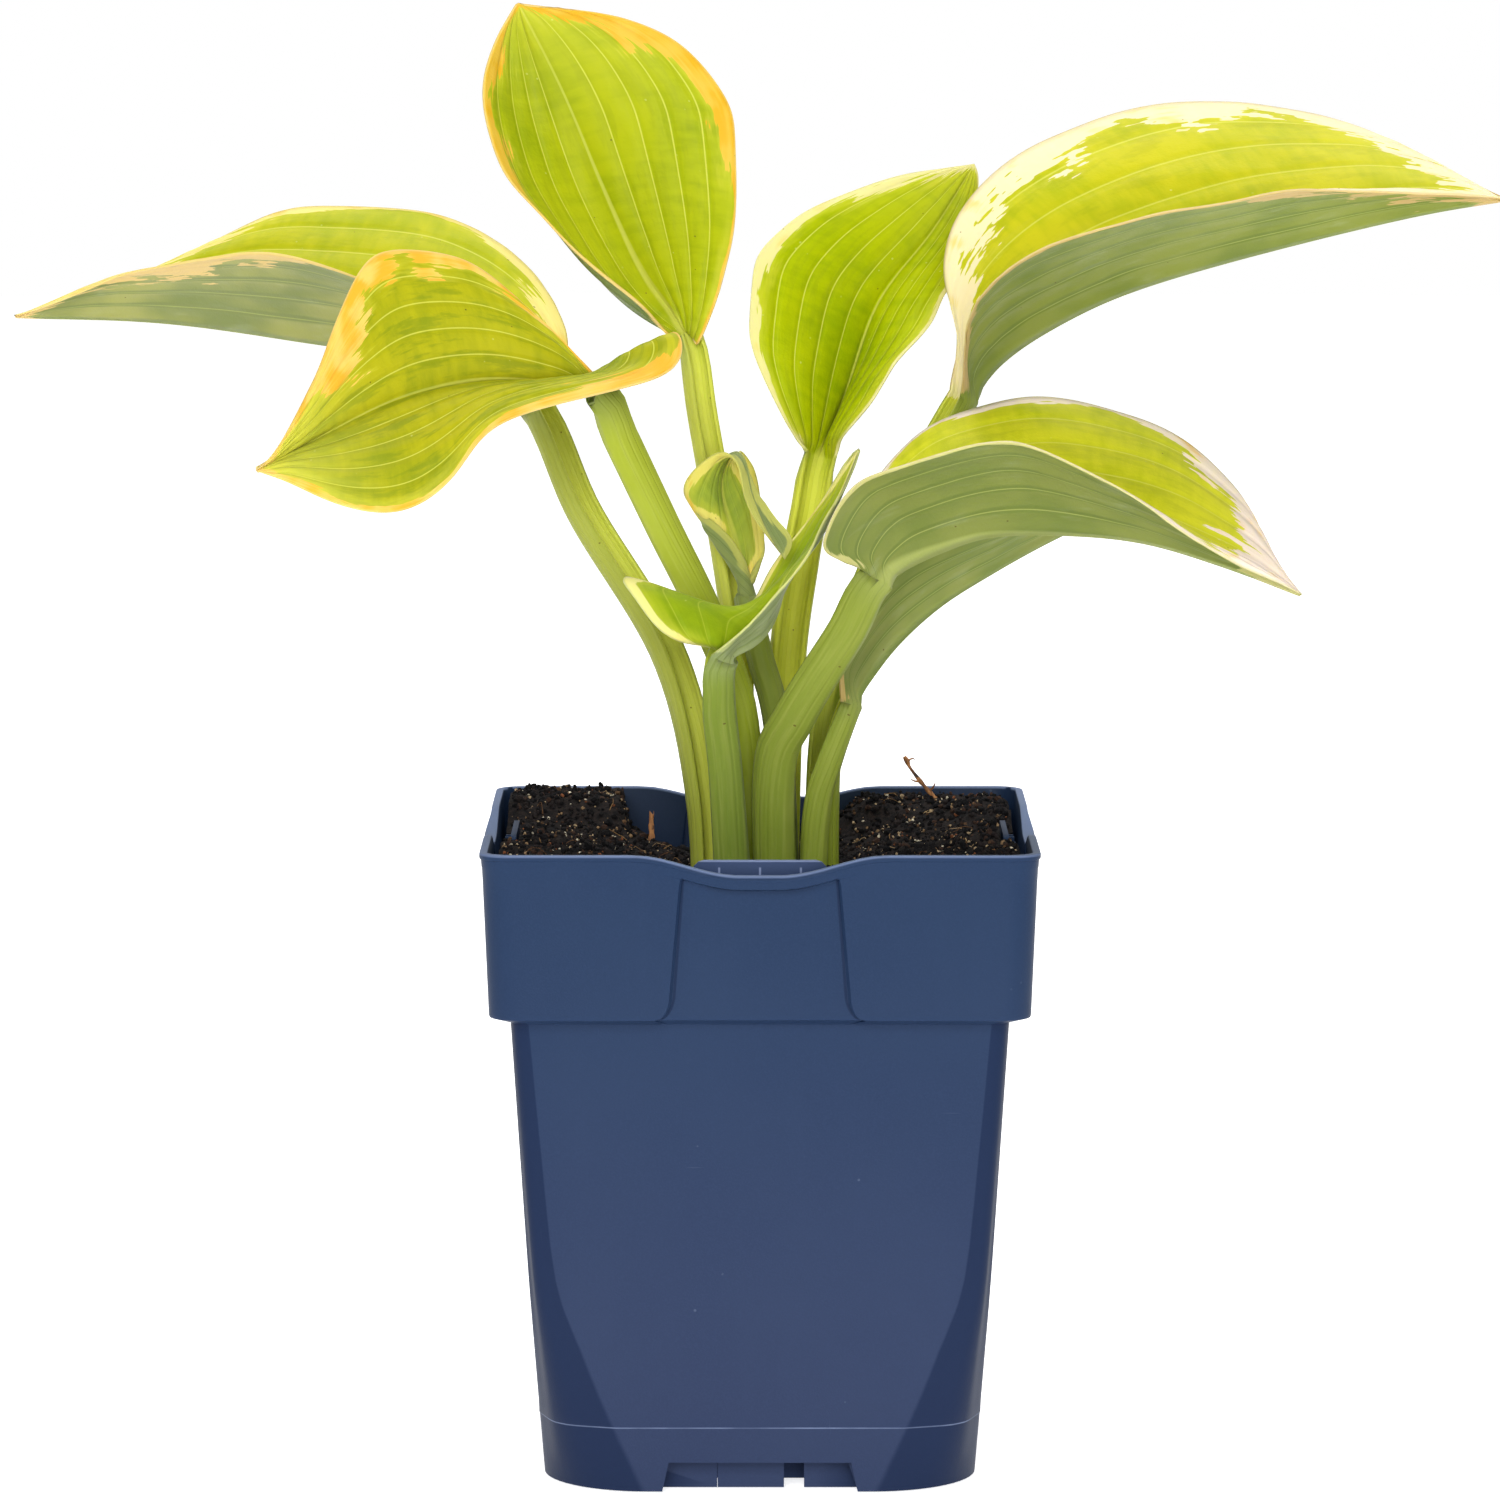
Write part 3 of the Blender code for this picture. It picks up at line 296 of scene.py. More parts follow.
def new_object(name, bm, material):
    """An object in metres from a bmesh in millimetres, with its faces turned outwards."""
    bmesh.ops.triangulate(bm, faces=bm.faces[:])
    bmesh.ops.recalc_face_normals(bm, faces=bm.faces[:])
    if bm.calc_volume(signed=True) < 0:
        bmesh.ops.reverse_faces(bm, faces=bm.faces[:])
    for vert in bm.verts:
        vert.co *= MM
    mesh = bpy.data.meshes.new(name)
    bm.to_mesh(mesh)
    bm.free()
    return link_object(name, mesh, material)


def list_object(name, points, faces, material):
    """An object in metres from lists of points in millimetres and faces."""
    mesh = bpy.data.meshes.new(name)
    mesh.from_pydata(points * MM, [], faces.tolist())
    return link_object(name, mesh, material)


def smooth_shading(mesh):
    mesh.polygons.foreach_set("use_smooth", np.ones(len(mesh.polygons), bool))


def join(bodies):
    """One set of points and faces from several."""
    starts = np.cumsum([0] + [len(points) for points, _ in bodies])
    faces = [faces + start for (_, faces), start in zip(bodies, starts)]
    return np.vstack([points for points, _ in bodies]), np.vstack(faces)


def add_attribute(mesh, name, values):
    layer = mesh.attributes.new(name, "FLOAT", "POINT")
    layer.data.foreach_set("value", np.asarray(values, np.float32).ravel())


def add_box(bm, low, high, turn=0.0):
    """An upright box between two corners, turned about Z."""
    cos, sin = math.cos(turn), math.sin(turn)
    corners = [
        (x * cos - y * sin, x * sin + y * cos, z)
        for z in (low[2], high[2])
        for x, y in ((low[0], low[1]), (high[0], low[1]), (high[0], high[1]), (low[0], high[1]))
    ]
    v = [bm.verts.new(c) for c in corners]
    for face in ((3, 2, 1, 0), (4, 5, 6, 7), (0, 1, 5, 4), (1, 2, 6, 5), (2, 3, 7, 6), (3, 0, 4, 7)):
        bm.faces.new([v[i] for i in face])


def add_extrusion(bm, outline, near, far, turn):
    """A plate with an outline in X and Z, from Y = near to Y = far, turned about Z."""
    cos, sin = math.cos(turn), math.sin(turn)
    rings = []
    for y in (near, far):
        rings.append([bm.verts.new((x * cos - y * sin, x * sin + y * cos, z)) for x, z in outline])
    bm.faces.new(rings[0])
    bm.faces.new(list(reversed(rings[1])))
    for i, j in around(len(outline)):
        bm.faces.new((rings[0][j], rings[0][i], rings[1][i], rings[1][j]))


def tongue_outline():
    """The label pocket's inner wall, with rounded upper corners."""
    points = [(-TONGUE_HALF, TONGUE_FOOT), (TONGUE_HALF, TONGUE_FOOT)]
    for side in (1, -1):
        angles = range(0, 91, 30) if side > 0 else range(90, -1, -30)
        for a in angles:
            r = math.radians(a)
            x = TONGUE_HALF - TONGUE_CORNER * (1 - math.cos(r))
            z = TONGUE_TOP - TONGUE_CORNER * (1 - math.sin(r))
            points.append((side * x, z))
    return points


def pocket_pieces():
    """For every side the pocket's tongue, its webs and ribs, the foot plates and the ribs under the floor."""
    tongues, webs, plates, foot_ribs = (bmesh.new() for _ in range(4))
    wall = COLLAR_FOOT_HALF - PANEL_RECESS - 0.5
    for quarter in range(4):
        turn = math.radians(90 * quarter)
        add_extrusion(tongues, tongue_outline(), -TONGUE_FACE, -TONGUE_FACE + TONGUE_THICK, turn)
        for side in (-1, 1):
            outer, inner = side * (TONGUE_HALF - 0.1), side * (TONGUE_HALF - 1.0)
            low = (min(outer, inner), -wall, TONGUE_FOOT + 0.5)
            high = (max(outer, inner), -TONGUE_FACE + 0.6, TONGUE_TOP - 3.2)
            add_box(webs, low, high, turn)
        for x in POCKET_RIBS:
            low = (x - POCKET_RIB / 2, -wall, TONGUE_FOOT + 0.5)
            high = (x + POCKET_RIB / 2, -TONGUE_FACE + 0.6, RIM_HEIGHT - DIP - 0.7)
            add_box(webs, low, high, turn)
        for start, end in FOOT_PLATES:
            low = (start, -FOOT_PLATE_OUT, 0.0)
            add_box(plates, low, (end, FOOT_PLATE_THICK - FOOT_PLATE_OUT, SKIRT + 0.6), turn)
        # a rib that stands in for the shade behind the slits
        low = (-FOOT_RIB_HALF, -FOOT_RIB_OUT, FOOT_RIB_FOOT)
        add_box(foot_ribs, low, (FOOT_RIB_HALF, FOOT_RIB_THICK - FOOT_RIB_OUT, SKIRT + 0.6), turn)
    return tongues, webs, plates, foot_ribs


def fine_pot_rings():
    """The rings of the pot's wall, closer together than in the solid, with rounded edges and the seam."""
    rings = [ring_at(0, BODY_FOOT_HALF, cone_corner(0), height=cutout_height)]
    for z in BODY_HEIGHTS:
        ridge = SEAM_RIDGE if SEAM < z < SEAM_RIDGE_TOP else 0.0
        rings.append(coned(ring_at(z, body_half(z) + ridge, cone_corner(z)), z))
    foot_edge = fine_panel_edge(COLLAR_FOOT)
    recess = panel_recess(foot_edge, PANEL_RECESS)
    rings.append(ring_at(COLLAR_FOOT, COLLAR_FOOT_HALF - 0.5, 5.8, foot_edge, recess))
    rings.append(ring_at(COLLAR_FOOT + 0.12, COLLAR_FOOT_HALF - 0.12, 6.1, foot_edge, recess))

    def add_collar(rises, foot, top, height, corner):
        """Rings from the collar's foot to its top, which lies height above its upright part."""
        for rise in rises:
            edge = fine_panel_edge(COLLAR_FOOT + rise)
            out = foot + COLLAR_OUT * min(rise / COLLAR_EDGE, 1)
            out += (top - foot - COLLAR_OUT) * max((rise - COLLAR_EDGE) / height, 0)
            rings.append(ring_at(COLLAR_FOOT + rise, out, corner, edge, panel_recess(edge, PANEL_RECESS)))

    top = RIM_HALF - BEAD
    add_collar(COLLAR_RISES, COLLAR_FOOT_HALF, top - 0.1, 24.8, COLLAR_CORNER)
    for out, cut, bulge, recessed, drop in RIM_RINGS:
        shape = lip_shape(RIM_EDGE, LIP_BULGE * bulge, recessed)
        rings.append(ring_at(0, RIM_HALF + out, RIM_CORNER - cut, RIM_EDGE, shape,
                             lambda u, drop=drop: RIM_HEIGHT - drop - rim_dip(u)))
    add_collar((20.0, 12.0, 5.0), COLLAR_FOOT_HALF - WALL, top - WALL, 27.6, COLLAR_INNER_CORNER)
    rings.append(ring_at(COLLAR_FOOT + WALL, COLLAR_FOOT_HALF - WALL, COLLAR_INNER_CORNER, foot_edge, recess))
    for z in (BODY_TOP, 68.0, 43.0, 28.7, 15.8):
        rings.append(ring_at(z, body_half(z) - WALL, max(cone_corner(z) - WALL, 1.0)))
    rings.append(ring_at(SKIRT + WALL, body_half(SKIRT) - WALL, FLOOR_CORNER))
    return rings


def unite(part, helpers):
    """Joins the helpers to the part and removes them."""
    for helper in helpers:
        step = part.modifiers.new("Union", "BOOLEAN")
        step.operation = "UNION"
        step.solver = "EXACT"
        step.object = helper
    graph = bpy.context.evaluated_depsgraph_get()
    mesh = bpy.data.meshes.new_from_object(part.evaluated_get(graph))
    part.modifiers.clear()
    part.data = mesh
    for helper in helpers:
        bpy.data.objects.remove(helper, do_unlink=True)


def mark_places(mesh):
    """Marks how far round a corner's cone each point of the pot lies, and what is inside the collar: the
    material paints shade on both.
    """
    places, normals = np.empty(len(mesh.vertices) * 3), np.empty(len(mesh.vertices) * 3)
    mesh.vertices.foreach_get("co", places)
    mesh.vertices.foreach_get("normal", normals)
    places, normals = places.reshape(-1, 3) / MM, normals.reshape(-1, 3)
    inward = (places[:, :2] * normals[:, :2]).sum(axis=1) < 0
    # inward faces above the collar's foot get painted shade
    add_attribute(mesh, "inside", inward & (places[:, 2] > COLLAR_FOOT + WALL))
    # how far round its corner's cone each point lies, for the painted shade there
    x, y, z = np.abs(places).T
    corner = np.array([cone_corner(height) for height in z])
    run = (np.minimum(x, y) - (body_half(z) - corner)) / (0.16 * corner)
    add_attribute(mesh, "cone", np.clip(run, 0, 1) * (z < BODY_TOP + 0.1))


def fine_pot():
    bm = bmesh.new()
    foot, floor = add_stack(bm, fine_pot_rings())
    hem = ring_at(0, BODY_FOOT_HALF - WALL, cone_corner(0) - WALL, height=cutout_height)
    skirt_foot = add_ring(bm, hem)
    skirt_top = add_ring(bm, ring_at(SKIRT, body_half(SKIRT) - WALL, SKIRT_CORNER))
    bridge(bm, skirt_foot, foot)
    bridge(bm, skirt_top, skirt_foot)
    cap(bm, skirt_top, SKIRT, False)
    cap(bm, floor, SKIRT + WALL, True)
    look = pot_material()
    pot = new_object("pot_fine", bm, look)
    unite(pot, [new_object("pot_helper", piece, look) for piece in pocket_pieces()])
    mark_places(pot.data)
    smooth_shading(pot.data)
    pot.data.set_sharp_from_angle(angle=math.radians(32))
    return pot


# ---- a short way to write node materials ----


def srgb(r, g, b, gain=ALBEDO):
    """A colour given as it looks on a screen, from 0 to 255, as linear values."""
    values = [c / 255 for c in (r, g, b)]
    linear = [c / 12.92 if c <= 0.04045 else ((c + 0.055) / 1.055) ** 2.4 for c in values]
    return (*(c * gain for c in linear), 1.0)


class Signal:
    """A node's output, which operators combine with numbers and with other outputs."""

    def __init__(self, graph, socket):
        self.graph = graph
        self.socket = socket

    def __add__(self, other):
        return self.graph.math("ADD", self, other)

    def __sub__(self, other):
        return self.graph.math("SUBTRACT", self, other)

    def __rsub__(self, other):
        return self.graph.math("SUBTRACT", other, self)

    def __mul__(self, other):
        return self.graph.math("MULTIPLY", self, other)

    def __abs__(self):
        return self.graph.math("ABSOLUTE", self)


class Graph:
    """The node tree of one material around its Principled shader."""

    def __init__(self, name, roughness, albedo=ALBEDO):
        self.material = bpy.data.materials.new(name)
        self.material.use_nodes = True
        self.tree = self.material.node_tree
        self.shader = self.tree.nodes["Principled BSDF"]
        self.albedo = albedo
        self.set("Roughness", roughness)

    def feed(self, socket, value):
        """Links or sets a socket. A colour of three values is one as it looks on a screen."""
        if isinstance(value, Signal):
            self.tree.links.new(value.socket, socket)
        elif socket.type == "RGBA" and len(value) == 3:
            socket.default_value = srgb(*value, self.albedo)
        else:
            socket.default_value = value

    def node(self, kind, values, output=0, **settings):
        node = self.tree.nodes.new("ShaderNode" + kind)
        for name, setting in settings.items():
            setattr(node, name, setting)
        for place, value in values.items():
            self.feed(node.inputs[place], value)
        return Signal(self, node.outputs[output])

    def attribute(self, name, output="Fac"):
        return self.node("Attribute", {}, output, attribute_name=name)

    def math(self, operation, *values):
        return self.node("Math", dict(enumerate(values)), operation=operation)

    def between(self, value, low, high, start=0.0, end=1.0):
        """A smooth step from start to end as value goes from low to high."""
        values = dict(enumerate((value, low, high, start, end)))
        return self.node("MapRange", values, interpolation_type="SMOOTHSTEP")

    def under(self, value, low, high):
        """A smooth step down from 1 to 0."""
        return self.between(value, low, high, 1.0, 0.0)

    def vector(self, *values):
        return self.node("CombineXYZ", dict(enumerate(values)))

    def split(self, vector):
        axes = self.node("SeparateXYZ", {0: vector}).socket.node
        return [Signal(self, socket) for socket in axes.outputs]

    def place(self):
        """The object's own coordinates, in metres."""
        return self.node("TexCoord", {}, "Object")

    def stretch(self, vector, *scale):
        return self.node("VectorMath", {0: vector, 1: scale}, operation="MULTIPLY")

    def noise(self, vector, scale, detail=2.0, rough=0.5):
        return self.node("TexNoise", {"Vector": vector, "Scale": scale, "Detail": detail, "Roughness": rough})

    def cells(self, vector, scale):
        return self.node("TexVoronoi", {"Vector": vector, "Scale": scale}, "Distance")

    def mix(self, share, a, b, blend="MIX"):
        return self.node("Mix", {0: share, 6: a, 7: b}, 2, data_type="RGBA", blend_type=blend)

    def coats(self, colour, *coats):
        """A colour under several coats of (how much, colour)."""
        for share, paint in coats:
            colour = self.mix(share, colour, paint)
        return colour

    def bump(self, height, strength, distance):
        self.set("Normal", self.node("Bump", {"Strength": strength, "Distance": distance, "Height": height}))

    def set(self, name, value):
        self.feed(self.shader.inputs[name], value)


def pot_tone_and_painted_light(g, blue):
    """The pot's tone and its painted light and shade, from where a point lies: a blue that darkens towards
    the rim, painted shade inside the collar and on the corners' cones, a painted shadow line beside each
    corner panel, and painted highlights on the label pockets' tongues, their ribs, the rim's top edge and the
    seam at the foot.
    """
    x, y, z = g.split(g.stretch(g.place(), 1000.0, 1000.0, 1000.0))
    across, deep = abs(x), abs(y)
    u, out = g.math("MINIMUM", across, deep), g.math("MAXIMUM", across, deep)
    below = RIM_HEIGHT - g.between(u, DIP_INNER, DIP_OUTER, DIP, 0.0) - z
    # painted highlight along the rim's top edge
    rim = g.under(below, 0.12, 0.6) * g.between(out, RIM_HALF - 2.6, RIM_HALF - 2.2)
    # painted shadow: a dark line along the edge of each corner panel, where the step between the panels casts
    # shade
    rise = z - COLLAR_FOOT
    fall = 1.0 - g.math("MINIMUM", rise * (1 / PANEL_FLARE_HEIGHT), 1.0)
    flare = 1.0 - g.math("SQRT", g.math("MAXIMUM", 1.0 - fall * fall, 0.0))
    lean = (PANEL_TOP_HALF - PANEL_FOOT_HALF) / (RIM_HEIGHT - COLLAR_FOOT)
    edge = rise * lean + PANEL_FOOT_HALF + flare * (PANEL_FLARE_HALF - PANEL_FOOT_HALF)
    line = g.under(abs(u - edge), LINE_HALF, LINE_HALF * 2.5) * g.between(rise, 0.0, 0.4)
    line = line * g.between(below, 2.4, 3.2) * g.between(out, COLLAR_FOOT_HALF - 1.6, COLLAR_FOOT_HALF - 1.2)
    # painted light on each label pocket's tongue: paler all over, with painted highlights on its ribs and
    # along its top edge
    height = z - TONGUE_TOP
    face = TONGUE_FACE - TONGUE_THICK
    tongue = g.between(out, face - 0.3, face - 0.2) * g.under(out, TONGUE_FACE + 0.05, TONGUE_FACE + 0.15)
    tongue = tongue * g.between(height, -6.0, -5.0) * g.under(across, TONGUE_HALF, TONGUE_HALF + 0.2)
    rib = g.math("MINIMUM", across, abs(across - POCKET_RIBS[-1]))
    rib = g.under(rib, 0.1, 0.3) * g.under(height, -1.6, -1.2)
    # how strong the painted highlight along the seam is, varying along it
    seam_highlight_share = g.between(g.noise(g.place(), 120.0, 3.0), 0.3, 0.7, 0.2, 0.6)
    return g.coats(
        blue,
        (0.6, g.mix(g.between(z, 0.0, RIM_HEIGHT), (47, 55, 81), (25, 44, 70))),
        # painted shade on the collar's inner faces
        (g.attribute("inside") * 0.4, (10, 20, 38)),
        # painted shade on the corners' cones, darker further round the corner
        (g.between(g.attribute("cone"), 0.0, 0.5) * 0.75, (18, 32, 60)),
        # painted light on the tongues, their ribs and their top edges
        (tongue * 0.3, (84, 98, 136)),
        (rib * tongue * 0.6, (140, 154, 190)),
        (tongue * g.between(height, -0.4, -0.15) * 0.6, (140, 154, 190)),
        # the painted shadow line beside the corner panels
        (line * 0.6, (14, 26, 50)),
        # painted highlight along the seam at the foot
        (g.under(abs(z - SEAM), 0.08, 0.2) * seam_highlight_share, (120, 134, 166)),
        # the painted highlight on the rim
        (rim * 0.6, (120, 136, 172)),
    )


def pot_material():
    """Moulded plastic: a fine matt grain, faint flow marks, scratches and paler rubbed spots, under painted
    light and shade.
    """
    g = Graph("pot_look", 0.45, POT_ALBEDO)
    spot = g.place()
    cloud = g.noise(spot, 22.0, 3.0)
    grain = g.noise(spot, 2600.0)
    flow = g.noise(g.stretch(spot, 160.0, 160.0, 12.0), 1.0, 3.0)
    upright = g.between(g.noise(g.stretch(spot, 900.0, 900.0, 26.0), 1.0, 1.0), 0.735, 0.76)
    level = g.between(g.noise(g.stretch(spot, 46.0, 46.0, 1100.0), 1.0, 1.0), 0.745, 0.77)
    scratch = g.math("MAXIMUM", upright, level) * g.between(g.noise(spot, 60.0, 1.0), 0.6, 0.72)
    speck = g.under(g.cells(spot, 260.0), 0.05, 0.09) * g.between(g.noise(spot, 90.0), 0.62, 0.66)
    blue = g.coats(
        (36, 51, 80),
        (g.between(cloud, 0.35, 0.7), (41, 56, 84)),
        (g.between(grain, 0.4, 0.7, 0.0, 0.5), (44, 60, 92)),
        (g.between(flow, 0.45, 0.75, 0.0, 0.07), (52, 68, 98)),
        (scratch * 0.3, (110, 122, 150)),
        (speck * 0.5, (120, 132, 156)),
    )
    g.set("Base Color", pot_tone_and_painted_light(g, blue))
    g.bump(grain + flow * 0.3, 0.25, 0.00012)
    g.set("Roughness", cloud * 0.12 + 0.4)
    g.set("Specular IOR Level", 0.07)
    return g.material


# ---- the leaves ----
LEAF_THICK = 0.65
PETIOLE_EDGE = 0.8
PATH_SAMPLES = 240
CHANNEL = (12.0, 92.0)  # fold and curl of each half of a petiole's channelled section, in degrees
ROW_BIAS = 1.15  # above 1 the rows lie closer together near the petiole
BLEND = 0.14  # the share of the blade's rows in which the channel opens out
# where each twelfth of the rows has its foot on the midrib, close together at the heart-shaped base
MIDRIB = (0.0, 0.02, 0.05, 0.10, 0.18, 0.28, 0.40, 0.52, 0.64, 0.76, 0.87, 0.96, 1.0)
VEINS = 5  # pale veins in each half of a big leaf
YOUNG_VEINS = 4
COLUMNS_PER_VEIN = 6
LEAF_ROWS = (36, 140)  # rows of the petiole and of the blade
YOUNG_ROWS = (30, 110)
EVENING = 26  # passes that even out a leaf's rows
PUCKER = 0.38  # how high the blade swells between two veins
SWELL = 0.175  # and how high it swells at random
EDGE_THIN = 0.4  # the blade's thickness at its margin


@dataclass
class Leaf:
    """A leaf: one channelled petiole that widens into a blade.

    A margin's point is (share of the blade's rows, x, y, z). It begins at the petiole and ends at the tip.
    """

    name: str
    path: tuple  # the midrib, from the petiole's foot to the blade's tip
    junction: int  # the point of the path where the blade begins
    petiole: tuple  # half the petiole's width, measured around its section, at its foot and its top
    up: tuple  # where the petiole's channel looks: at its foot and its top
    left: tuple  # the left margin
    right: tuple
    arch: tuple = (2.0, 2.0)  # how far each half of the blade swells upwards
    wave: float = 0.5
    waves: float = 3.0


class Path:
    """A leaf's midrib by its length, which is 0 at the junction and negative along the petiole."""

    def __init__(self, leaf):
        at = np.linspace(0, 1, PATH_SAMPLES)
        self.points = spline(leaf.path, at)
        steps = np.linalg.norm(np.diff(self.points, axis=0), axis=1)
        length = np.concatenate(([0.0], np.cumsum(steps)))
        self.petiole = float(np.interp(leaf.junction / (len(leaf.path) - 1), at, length))
        self.length = length - self.petiole
        self.blade = float(self.length[-1])
        self.tangents = unit(np.gradient(self.points, self.length, axis=0))
        ends = (-self.petiole, 0)
        hints = np.array(leaf.up, float).T
        self.hints = np.stack([np.interp(self.length, ends, pair) for pair in hints], axis=1)

    def frame(self, length):
        """Point, direction, side and upper normal at each length."""

        def pick(values):
            return np.stack([np.interp(length, self.length, values[..., k]) for k in range(3)], axis=-1)

        tangent = unit(pick(self.tangents))
        side = unit(np.cross(tangent, pick(self.hints)))
        return pick(self.points), tangent, side, np.cross(side, tangent)


def section(fold, curl, t, width):
    """How far out and how far up a half section reaches at the shares t of its width."""
    a0, c = math.radians(fold), math.radians(curl)
    end = a0 + c * t
    return width * (np.sin(end) - math.sin(a0)) / c, width * (math.cos(a0) - np.cos(end)) / c


def margin(leaf, table, start, rows):
    """The margin of one half at each row. It starts at the petiole's edge and ends at the tip."""
    knots = np.array(((0.0, *start), *table, (1.0, *leaf.path[-1])), float)
    line = spline(knots, np.linspace(0, 1, PATH_SAMPLES))
    place = np.maximum.accumulate(line[:, 0])
    return np.stack([np.interp(rows, place, line[:, k]) for k in (1, 2, 3)], axis=1)


def blade_half(leaf, right, share, stem, middle, tangent, rows):
    """One half of the blade: lines from the midrib to the margin, arched, that leave the channel smoothly."""
    edge = margin(leaf, leaf.right if right else leaf.left, stem[-1 if right else 0], rows)
    away = edge - middle
    ahead = (away * tangent).sum(axis=1, keepdims=True) * tangent
    across = away - ahead
    over = unit(np.cross(across, tangent)) * (1 if right else -1)
    arch = leaf.arch[1 if right else 0] * 4 * share * (1 - share)
    ripple = leaf.wave * share**2 * np.sin(2 * np.pi * leaf.waves * rows[:, None] + (1.3 if right else -1.3))
    lift = (arch + ripple) * (ease(rows / 0.3) * ease((1 - rows) / 0.2))[:, None]
    channel = stem - middle[0] - (stem[-1 if right else 0] - middle[0]) * share[:, None]
    opened = ease(rows / BLEND)[:, None, None]
    straight = middle[:, None] + across[:, None] * share[:, None] + ahead[:, None] * share[:, None] ** 1.6
    return straight + channel * (1 - opened) + over[:, None] * lift[..., None]


def leaf_grid(leaf, petiole_rows, blade_rows, columns):
    """The upper face of a leaf as a grid of points, with each point's place across and along it."""
    path = Path(leaf)
    t = np.linspace(-1, 1, columns)
    share = np.abs(t)
    rows = np.linspace(0, 1, blade_rows) ** ROW_BIAS
    foot = np.linspace(-path.petiole, 0, petiole_rows, endpoint=False)
    middle, tangent, side, normal = path.frame(np.append(foot, 0.0))
    width = np.linspace(*leaf.petiole, petiole_rows + 1)[:, None]
    out, rise = section(*CHANNEL, share, width)
    stem = middle[:, None] + side[:, None] * (np.sign(t) * out)[..., None] + normal[:, None] * rise[..., None]
    along = np.interp(rows, np.linspace(0, 1, len(MIDRIB)), MIDRIB) * path.blade
    middle, tangent, side, normal = path.frame(along)
    blade = np.zeros((blade_rows, columns, 3))
    for right, mine in ((False, t < 0), (True, t >= 0)):
        blade[:, mine] = blade_half(leaf, right, share[mine], stem[-1, mine], middle, tangent, rows)
    return np.concatenate((stem[:-1], blade)), t, np.concatenate((foot / path.petiole, rows))


def grid_normals(points):
    return unit(np.cross(np.gradient(points, axis=1), np.gradient(points, axis=0)))


def leaf_thickness(leaf, t, row):
    """Thick in the middle of the petiole, thin in the blade, with a midrib that fades out."""
    stem = np.interp(row, (-1, 0, 0.12, 0.6, 1), (1.0, 0.8, 0.35, 0.1, 0.0))[:, None] * leaf.petiole[0] * 0.6
    edge = np.interp(row, (-0.1, 0.1), (PETIOLE_EDGE, LEAF_THICK))[:, None]
    spread = np.interp(row, (-0.05, 0.15), (1.0, 6.0))[:, None]
    return edge + stem * (1 - np.abs(t)) ** spread


